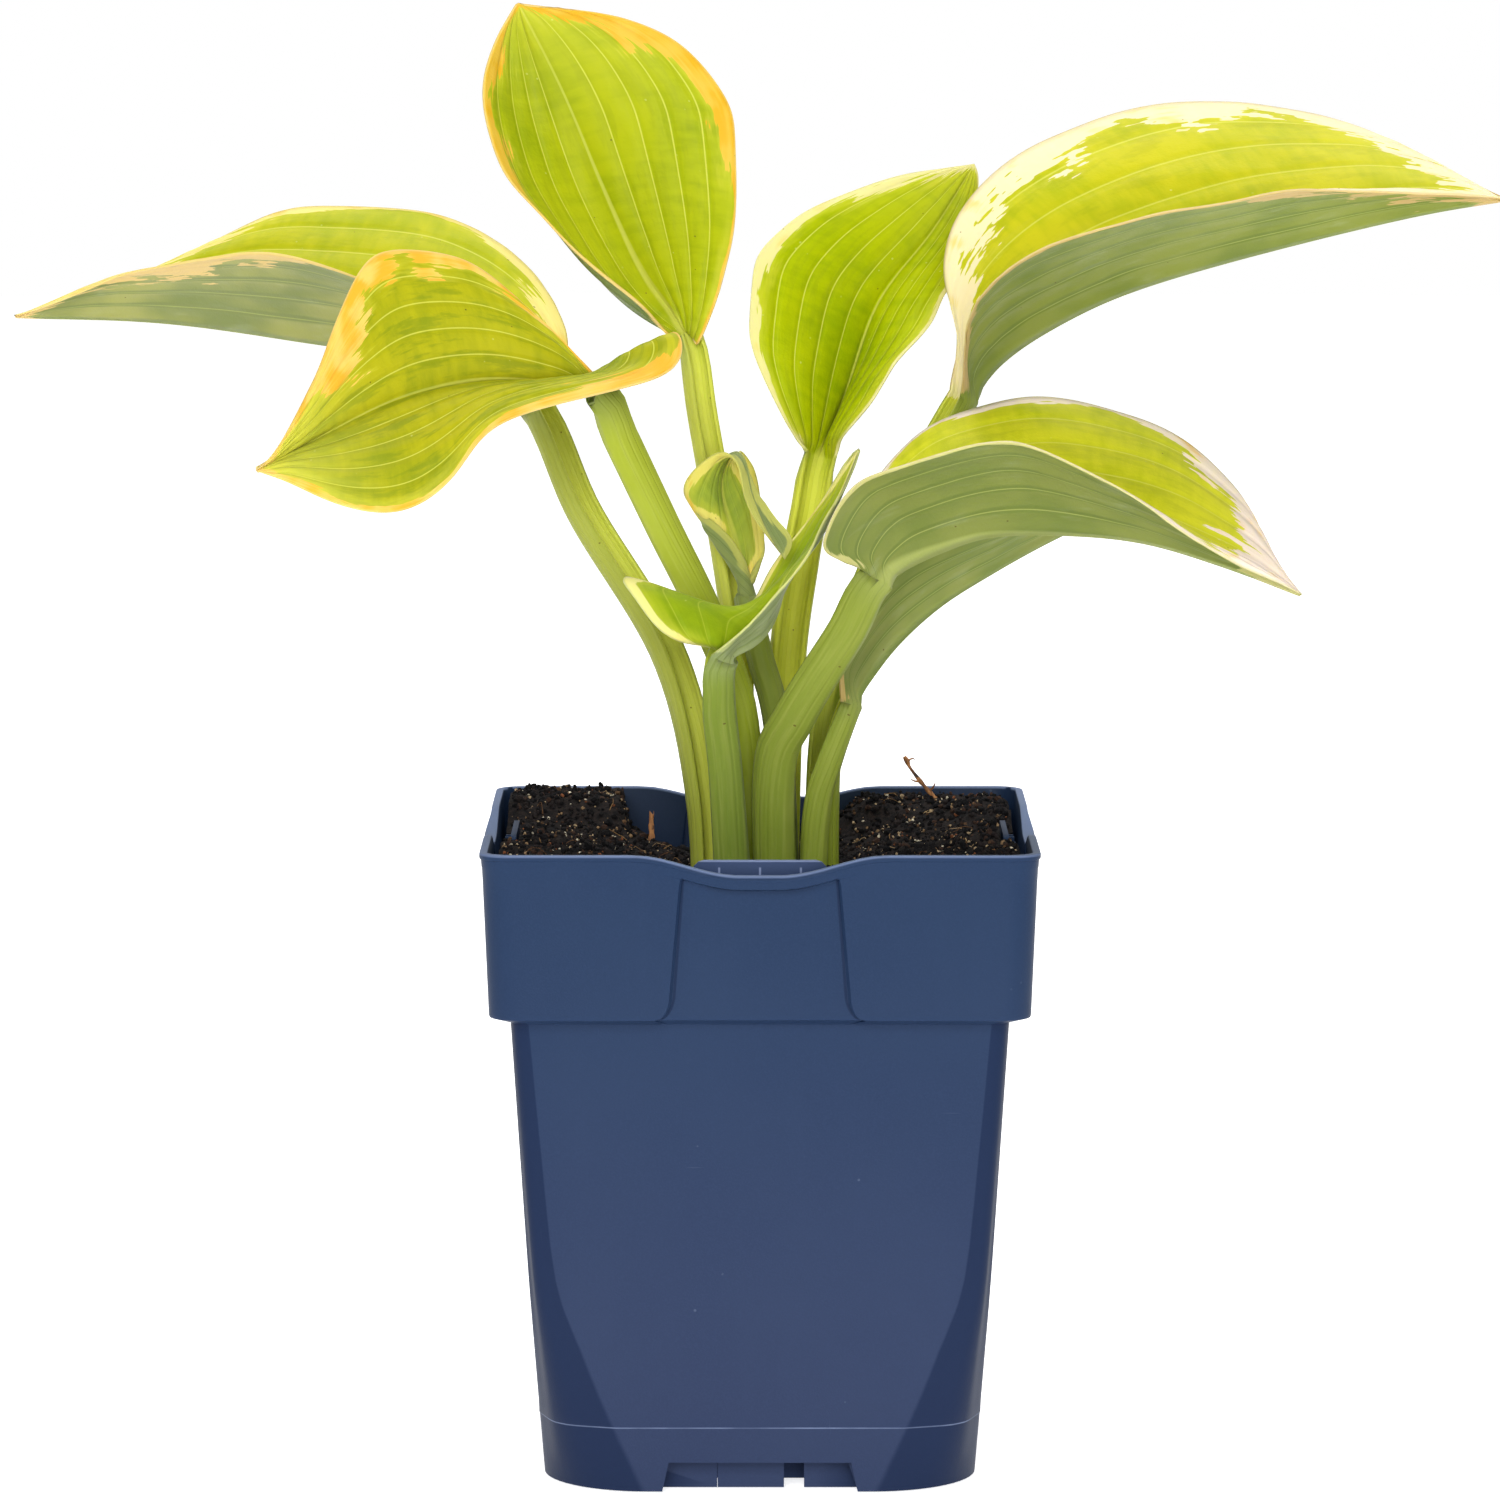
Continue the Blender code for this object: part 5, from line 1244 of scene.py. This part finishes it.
# Heaps and hollows of the soil: x, y, reach, height
HEAPS = (
    (-46, 46, 9, 1.4), (-40, 30, 12, 0.8), (-18, 44, 9, -4.6), (-8, 40, 14, -2.6), (22, 46, 11, 4.2),
    (30, 44, 13, 1.2), (44, 30, 14, 1.4), (38, 47, 7, 1.8), (30, 50, 5, 1.0), (-50, -20, 10, 1.0),
    (-48, -4, 16, 4.2), (48, -4, 16, 4.4),
)
CLIFF = (-27.0, 24.0, 128.9)  # the back left heap ends steeply here in X, starts here in Y, and is this high
BANK = (15.0, 32.0, 127.4)  # and the right one
LUMPS = ((5.5, 0.9), (2.3, 0.75), (1.1, 0.45))  # size and height
SOIL_RINGS = 46
SOIL_COLUMNS = 320
CRUMBS = 6000
GRIT = 1900
SOIL_SPREAD = 51.0  # grains and roots are tried out to this far from the middle
ROOT_SPREAD = 50.0
ROOT_LIMIT = 50.5
STEM_REACH = 20.0  # less grit lies nearer to the middle than this
STEM_SHARE = 0.4
BIG_CHANCE = 0.1  # now and then a grain is a bit bigger
BIG_FACTOR = 1.35
GRAIN_RISE = 0.39  # how far a grain's middle lies above the soil, as a share of its size
ROOT_SIDES = 5
ROOTS = 60
ROOT_POINTS = 7
PEAT_TINTS = (((26, 24, 26), 6), ((40, 34, 34), 4), ((66, 48, 40), 1.4), ((18, 17, 20), 4))
GRIT_TINTS = (((158, 128, 96), 3), ((196, 170, 134), 3), ((136, 84, 56), 2), ((226, 214, 190), 2),
              ((96, 72, 52), 3))
ROOT_TINTS = ((150, 116, 78), (110, 78, 52), (190, 160, 120))


def soil_height(x, y):
    """The soil lies low around the stems and is heaped up beside them, most of all towards the corners."""
    across = smoothstep(abs(x), *HEAP_ACROSS)
    along = smoothstep(abs(y), *HEAP_ALONG)
    z = SOIL_LEVEL + SOIL_HEAP * across * lerp(0.5, 1.0, along)
    for heap_x, heap_y, reach, height in HEAPS:
        z += height * math.exp(-((x - heap_x) ** 2 + (y - heap_y) ** 2) / reach**2)
    z = lerp(z, CLIFF[2], ease((CLIFF[0] - x) / 2.0) * ease((y - CLIFF[1]) / 9))
    z = lerp(z, BANK[2], ease((x - BANK[0]) / 8) * ease((y - BANK[1]) / 10))
    for size, height in LUMPS:
        z += height * noise.noise(Vector((x, y, 0.0)) / size)
    return z


def evenly(outline, count):
    """A closed outline with its points at equal distances."""
    ring = np.array(outline + outline[:1], float)
    length = np.concatenate(([0], np.cumsum(np.linalg.norm(np.diff(ring, axis=0), axis=1))))
    at = np.linspace(0, length[-1], count, endpoint=False)
    return [tuple(float(np.interp(a, length, ring[:, k])) for k in range(3)) for a in at]


def fine_soil():
    """The soil as one closed body with a rough surface that meets the stems."""
    inside = WALL + SOIL_CLEAR
    outlines = [ring_at(SOIL_FLOOR, body_half(SKIRT) - inside, SOIL_FOOT_CORNER, SOIL_EDGE)]
    for z in (15.8, 43.0, BODY_TOP - 0.8, BODY_TOP + 0.8):
        low = min(z, BODY_TOP)
        outlines.append(ring_at(z, body_half(low) - inside, cone_corner(low), SOIL_EDGE))
    ledge = panel_recess(SOIL_EDGE, SOIL_LEDGE_HALF - POCKET_CLEAR_HALF)
    outlines.append(ring_at(BODY_TOP + 3.7, SOIL_LEDGE_HALF, SOIL_CORNER, SOIL_EDGE, ledge))
    behind = panel_recess(SOIL_EDGE, SOIL_TOP_HALF - POCKET_CLEAR_HALF)
    brim = ring_at(0, SOIL_TOP_HALF, SOIL_CORNER, SOIL_EDGE, behind)
    outlines.append([(x, y, soil_height(x, y) - 0.5) for x, y, _ in brim])
    rings = [evenly(outline, SOIL_COLUMNS) for outline in outlines]
    top = rings.pop()
    rings.append([(x, y, soil_height(x, y) - 0.5) for x, y, _ in top])
    for k in range(1, SOIL_RINGS):
        share = 1 - k / SOIL_RINGS
        rings.append([(x * share, y * share, soil_height(x * share, y * share)) for x, y, _ in top])
    bm = bmesh.new()
    low, high = add_stack(bm, rings)
    cap(bm, low, SOIL_FLOOR, False)
    cap(bm, high, soil_height(0, 0), True)
    soil = new_object("soil_fine", bm, soil_material())
    smooth_shading(soil.data)
    soil.data.set_sharp_from_angle(angle=math.radians(60))
    return soil


def soil_material():
    g = Graph("peat_look", 0.9)
    spot = g.place()
    tone = g.between(g.noise(spot, 700.0, 4.0, 0.7), 0.35, 0.72)
    fleck = g.under(g.cells(spot, 900.0), 0.1, 0.2) * g.between(g.noise(spot, 300.0), 0.56, 0.62)
    g.set("Base Color", g.coats((17, 16, 18), (tone, (46, 38, 36)), (fleck, (150, 124, 96))))
    g.bump(g.noise(spot, 1500.0, 4.0, 0.7), 0.9, 0.0006)
    g.set("Specular IOR Level", 0.12)
    return g.material


def grain_material(name, rough):
    """Grains take their colour from an attribute, with a little noise of their own."""
    g = Graph(name, rough)
    tone = g.noise(g.place(), 2200.0, 3.0, 0.6)
    shade = g.between(tone, 0.3, 0.7, 0.55, 1.15)
    g.set("Base Color", g.mix(1.0, g.attribute("tint", "Color"), g.vector(shade, shade, shade), "MULTIPLY"))
    g.bump(tone, 0.8, 0.0004)
    g.set("Specular IOR Level", 0.12)
    return g.material


def grains(name, bodies, colours, rough):
    """Many small bodies as one piece, each with its own colour."""
    piece = list_object(name, *join(bodies), grain_material(name + "_look", rough))
    colours = [np.tile(colour, (len(points), 1)) for colour, (points, _) in zip(colours, bodies)]
    layer = piece.data.color_attributes.new("tint", "FLOAT_COLOR", "POINT")
    layer.data.foreach_set("color", np.vstack(colours).astype(np.float32).ravel())
    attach(piece, "root")


def ball(subdivisions):
    """The points and triangles of a ball of radius 1."""
    bm = bmesh.new()
    bmesh.ops.create_icosphere(bm, subdivisions=subdivisions, radius=1.0)
    points = np.array([tuple(v.co) for v in bm.verts])
    faces = np.array([[v.index for v in f.verts] for f in bm.faces])
    bm.free()
    return points, faces


ROUGH_BALL = ball(1)
FINE_BALL = ball(2)


def lump(center, size, rng):
    """An irregular grain: its points and faces."""
    points, faces = FINE_BALL if size > 0.8 else ROUGH_BALL
    stretch = rng.uniform(0.6, 1.25, 3)
    turn = rng.uniform(-math.pi, math.pi, 3)
    dents = 1 + rng.uniform(-0.22, 0.22, len(points))
    body = points * stretch * dents[:, None] * size
    for (i, j), angle in zip(((1, 2), (0, 2), (0, 1)), turn):
        cos, sin = math.cos(angle), math.sin(angle)
        a, b = body[:, i].copy(), body[:, j].copy()
        body[:, i], body[:, j] = a * cos - b * sin, a * sin + b * cos
    return body + center, faces


def soil_reach(x, y):
    """How far from the middle the soil's surface goes beside a label pocket and away from it."""
    return (POCKET_CLEAR_HALF if min(abs(x), abs(y)) < SOIL_EDGE else SOIL_TOP_HALF) - 0.4


def scatter(name, count, sizes, tints, seed, outer=False):
    """Grains of several colours lying in the soil's surface, fewer near its middle if they are outer ones."""
    rng = np.random.default_rng(seed)
    bodies, colours = [], []
    weights = np.array([w for _, w in tints], float)
    while len(bodies) < count:
        x, y = rng.uniform(-SOIL_SPREAD, SOIL_SPREAD, 2)
        away = max(abs(x), abs(y))
        if outer and away <= STEM_REACH and rng.random() >= STEM_SHARE or away > soil_reach(x, y):
            continue
        size = rng.uniform(*sizes) * (BIG_FACTOR if rng.random() < BIG_CHANCE else 1.0)
        if away > soil_reach(x, y) - size:
            continue
        bodies.append(lump(np.array((x, y, soil_height(x, y) + size * GRAIN_RISE)), size, rng))
        tint = tints[rng.choice(len(tints), p=weights / weights.sum())][0]
        shade = rng.uniform(0.75, 1.2)
        colours.append([*(c * shade for c in srgb(*tint)[:3]), 1.0])
    grains(name, bodies, colours, 0.9)


def tube_faces(levels, sides):
    """The triangles of a closed tube of rings, with its two end points after them."""
    start = levels * sides
    last = start - sides
    faces = []
    for i in range(0, last, sides):
        for j, k in around(sides):
            faces += [(i + j, i + k, i + sides + k), (i + j, i + sides + k, i + sides + j)]
    for j, k in around(sides):
        faces += [(start, k, j), (start + 1, last + j, last + k)]
    return np.array(faces)


def circle(sides):
    angles = np.linspace(0, 2 * np.pi, sides, endpoint=False)
    return angles, np.cos(angles), np.sin(angles)


def tube(line, radii, sides):
    """The points and triangles of a closed tube along a line."""
    tangents = unit(np.gradient(line, axis=0))
    first = unit(np.cross(tangents, np.array((0.13, 0.31, 0.94))))
    second = np.cross(tangents, first)
    _, cos, sin = circle(sides)
    rings = [p + r * (cos[:, None] * a + sin[:, None] * b) for p, r, a, b in zip(line, radii, first, second)]
    return np.vstack(rings + [line[:1], line[-1:]]), tube_faces(len(line), sides)


def threads(name, count, seed, tints, length, thick):
    """Fine roots and fibres that lie on the soil, as one mesh of thin tubes."""
    rng = np.random.default_rng(seed)
    bodies, colours = [], []
    for _ in range(count):
        while True:
            x, y = rng.uniform(-ROOT_SPREAD, ROOT_SPREAD, 2)
            if 16 < max(abs(x), abs(y)) < soil_reach(x, y) - 3:
                break
        heading, bend = rng.uniform(0, 2 * math.pi), rng.uniform(-0.5, 0.5)
        reach, radius = rng.uniform(*length), rng.uniform(*thick)
        lift = rng.uniform(0.1, 1.2)
        line = []
        for k in range(ROOT_POINTS):
            near_x, near_y = (min(max(c, -ROOT_LIMIT), ROOT_LIMIT) for c in (x, y))
            arch = lift * math.sin(math.pi * k / (ROOT_POINTS - 1))
            line.append((near_x, near_y, soil_height(near_x, near_y) + 0.3 + arch))
            x += math.cos(heading) * reach / ROOT_POINTS
            y += math.sin(heading) * reach / ROOT_POINTS
            heading += bend + rng.uniform(-0.3, 0.3)
        radii = [radius * (1 - 0.5 * k / ROOT_POINTS) for k in range(ROOT_POINTS)]
        bodies.append(tube(np.array(line), radii, ROOT_SIDES))
        colours.append(srgb(*tints[rng.integers(len(tints))]))
    grains(name, bodies, colours, 0.8)


# ---- the twig and the bark chip ----
# points of the twig and of its side shoots: x, y, z, radius
TWIG_LINES = (
    ((38.6, 45.0, 124.4, 0.66), (37.6, 45.1, 126.4, 0.62), (36.2, 45.3, 128.0, 0.44),
     (35.4, 45.4, 128.9, 0.54), (34.3, 45.5, 130.2, 0.36), (33.6, 45.6, 131.0, 0.5),
     (32.2, 45.8, 132.8, 0.32), (31.2, 45.9, 134.2, 0.32), (30.8, 46.0, 135.2, 0.56),
     (30.2, 46.0, 136.2, 0.4)),
    ((35.4, 45.4, 128.9, 0.26), (36.2, 44.8, 130.0, 0.2), (36.6, 44.6, 130.8, 0.12)),
    ((33.6, 45.6, 131.0, 0.24), (32.4, 45.0, 131.2, 0.18), (31.6, 44.8, 131.6, 0.1)),
    ((30.8, 46.0, 135.2, 0.26), (31.8, 46.2, 135.8, 0.16), (32.4, 46.3, 135.6, 0.1)),
)
TWIG_SIDES = 10
BARK_FOOT = (-23.0, 33.0, 118.2)
BARK_TOP = (-22.0, 33.6, 125.6)
BARK_RADIUS = 1.0
BARK_LEVELS = 22
BARK_SIDES = 16


def wood_object(name, points, faces, scale):
    g = Graph(name.replace("fine", "look"), 0.75)
    spot = g.place()
    grain = g.noise(g.stretch(spot, 1.0, 1.0, 0.25), scale, 4.0, 0.6)
    knots = g.between(g.noise(spot, 420.0), 0.58, 0.68)
    brown = g.mix(g.between(grain, 0.35, 0.7), (104, 62, 34), (206, 142, 84))
    g.set("Base Color", g.mix(knots, brown, (58, 40, 30)))
    g.bump(grain, 0.7, 0.0003)
    piece = list_object(name, points, faces, g.material)
    smooth_shading(piece.data)
    return piece


def fine_twig():
    """A knobbly twig with side shoots, as closed tubes in one mesh."""
    bodies = []
    for points, steps in zip(TWIG_LINES, (40, 9, 9, 9)):
        line = spline(points, np.linspace(0, 1, steps))
        bodies.append(tube(line[:, :3], line[:, 3], TWIG_SIDES))
    return wood_object("twig_fine", *join(bodies), 900.0)


def fine_bark():
    """A split, ragged chip that stands in the soil."""
    low, high = np.array(BARK_FOOT), np.array(BARK_TOP)
    rng = np.random.default_rng(5)
    angles, cos, sin = circle(BARK_SIDES)
    rings = []
    for k in range(BARK_LEVELS):
        share = k / (BARK_LEVELS - 1)
        middle = low + (high - low) * share + np.array((0.25 * math.sin(share * 5), 0, 0))
        size = BARK_RADIUS * (0.72 - 0.3 * share) * (1 + 0.12 * math.sin(share * 21))
        size = size * (1 + 0.14 * np.sin(angles * 3 + share * 4) + rng.uniform(-0.05, 0.05, BARK_SIDES))
        lift = 0.9 * np.sin(angles * 2 + 1) * (share == 1)
        rings.append(middle + np.column_stack((cos * size, sin * 0.5 * size, lift)))
    points = np.vstack(rings + [low[None], high[None]])
    return wood_object("bark_fine", points, tube_faces(BARK_LEVELS, BARK_SIDES), 500.0)


# ---- the studio ----
CAMERA_PLACE = (-1.965, -1495.0, 323.44)
CAMERA_DOWN = 6.853  # degrees below level
CAMERA_LENS = 178.8
DIM = 0.25  # the room in front of the plant
BRIGHT = 0.7  # the white wall behind it
AIM = (0.0, 0.0, 0.16)
LIGHTS = (  # name, place, size, power
    ("key", (-0.35, -2.0, 1.1), (0.9, 0.9), 30.0),
    ("fill", (0.5, -2.0, 0.4), (0.9, 0.9), 14.0),
    ("top", (0.1, 0.5, 1.9), (1.6, 1.2), 30.0),
)
FLOOR_GLOW = 0.75
FLOOR_RADIUS = 4000.0
FLOOR_HEIGHT = -0.0003


def add_camera():
    data = bpy.data.cameras.new("camera")
    data.lens = CAMERA_LENS
    data.sensor_width = 36.0
    data.clip_start = 0.01
    data.clip_end = 50.0
    camera = bpy.data.objects.new("camera", data)
    camera.location = [c * MM for c in CAMERA_PLACE]
    camera.rotation_euler = (math.radians(90 - CAMERA_DOWN), 0.0, 0.0)
    bpy.context.scene.collection.objects.link(camera)
    bpy.context.scene.camera = camera


def add_light(name, place, size, power):
    data = bpy.data.lights.new(name, "AREA")
    data.shape = "RECTANGLE"
    data.size, data.size_y = size
    data.energy = power
    light = bpy.data.objects.new(name, data)
    light.location = place
    light.rotation_euler = (Vector(AIM) - Vector(place)).to_track_quat("-Z", "Y").to_euler()
    bpy.context.scene.collection.objects.link(light)


def white_room():
    """A white backdrop all around that gives less light from the front than from behind."""
    world = bpy.data.worlds.new("studio")
    world.use_nodes = True
    tree = world.node_tree
    heading = tree.nodes.new("ShaderNodeSeparateXYZ")
    tree.links.new(tree.nodes.new("ShaderNodeTexCoord").outputs["Generated"], heading.inputs[0])
    glow = tree.nodes.new("ShaderNodeMapRange")
    glow.interpolation_type = "SMOOTHSTEP"
    for socket, value in zip(glow.inputs[1:], (0.25, 1.0, DIM, BRIGHT)):
        socket.default_value = value
    tree.links.new(heading.outputs["Y"], glow.inputs["Value"])
    strength = tree.nodes.new("ShaderNodeMix")
    strength.inputs["B"].default_value = 1.0
    tree.links.new(tree.nodes.new("ShaderNodeLightPath").outputs["Is Camera Ray"], strength.inputs["Factor"])
    tree.links.new(glow.outputs["Result"], strength.inputs["A"])
    background = tree.nodes["Background"]
    background.inputs["Color"].default_value = (1.0, 1.0, 1.0, 1.0)
    tree.links.new(strength.outputs["Result"], background.inputs["Strength"])
    return world


def add_floor():
    bm = bmesh.new()
    bmesh.ops.create_circle(bm, cap_ends=True, segments=96, radius=FLOOR_RADIUS)
    g = Graph("floor_look", 0.9)
    g.set("Base Color", g.mix(g.noise(g.place(), 3.0), (0.9, 0.9, 0.9, 1.0), (0.92, 0.92, 0.92, 1.0)))
    g.set("Emission Color", (1.0, 1.0, 1.0, 1.0))
    g.set("Emission Strength", FLOOR_GLOW)
    g.set("Specular IOR Level", 0.0)
    floor = new_object("floor", bm, g.material)
    floor.location = (0.0, 0.0, FLOOR_HEIGHT)


def own(piece, node):
    """A piece that stands for a node of the part."""
    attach(piece, "root")
    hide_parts(node)


def main():
    scene = bpy.context.scene
    scene.view_settings.view_transform = "Standard"
    scene.view_settings.look = "None"
    scene.world = white_room()
    add_camera()
    for light in LIGHTS:
        add_light(*light)
    add_floor()
    own(fine_pot(), "pot")
    for leaf in LEAVES:
        look = LOOKS[leaf.name]
        own(fine_leaf(leaf, look), leaf.name)
    own(fine_soil(), "soil")
    scatter("peat_crumbs", CRUMBS, (0.2, 0.72), PEAT_TINTS, 11)
    scatter("soil_grit", GRIT, (0.13, 0.44), GRIT_TINTS, 12, outer=True)
    threads("soil_roots", ROOTS, 21, ROOT_TINTS, (2.0, 7.0), (0.05, 0.12))
    own(fine_twig(), "twig")
    own(fine_bark(), "bark_chip")


main()
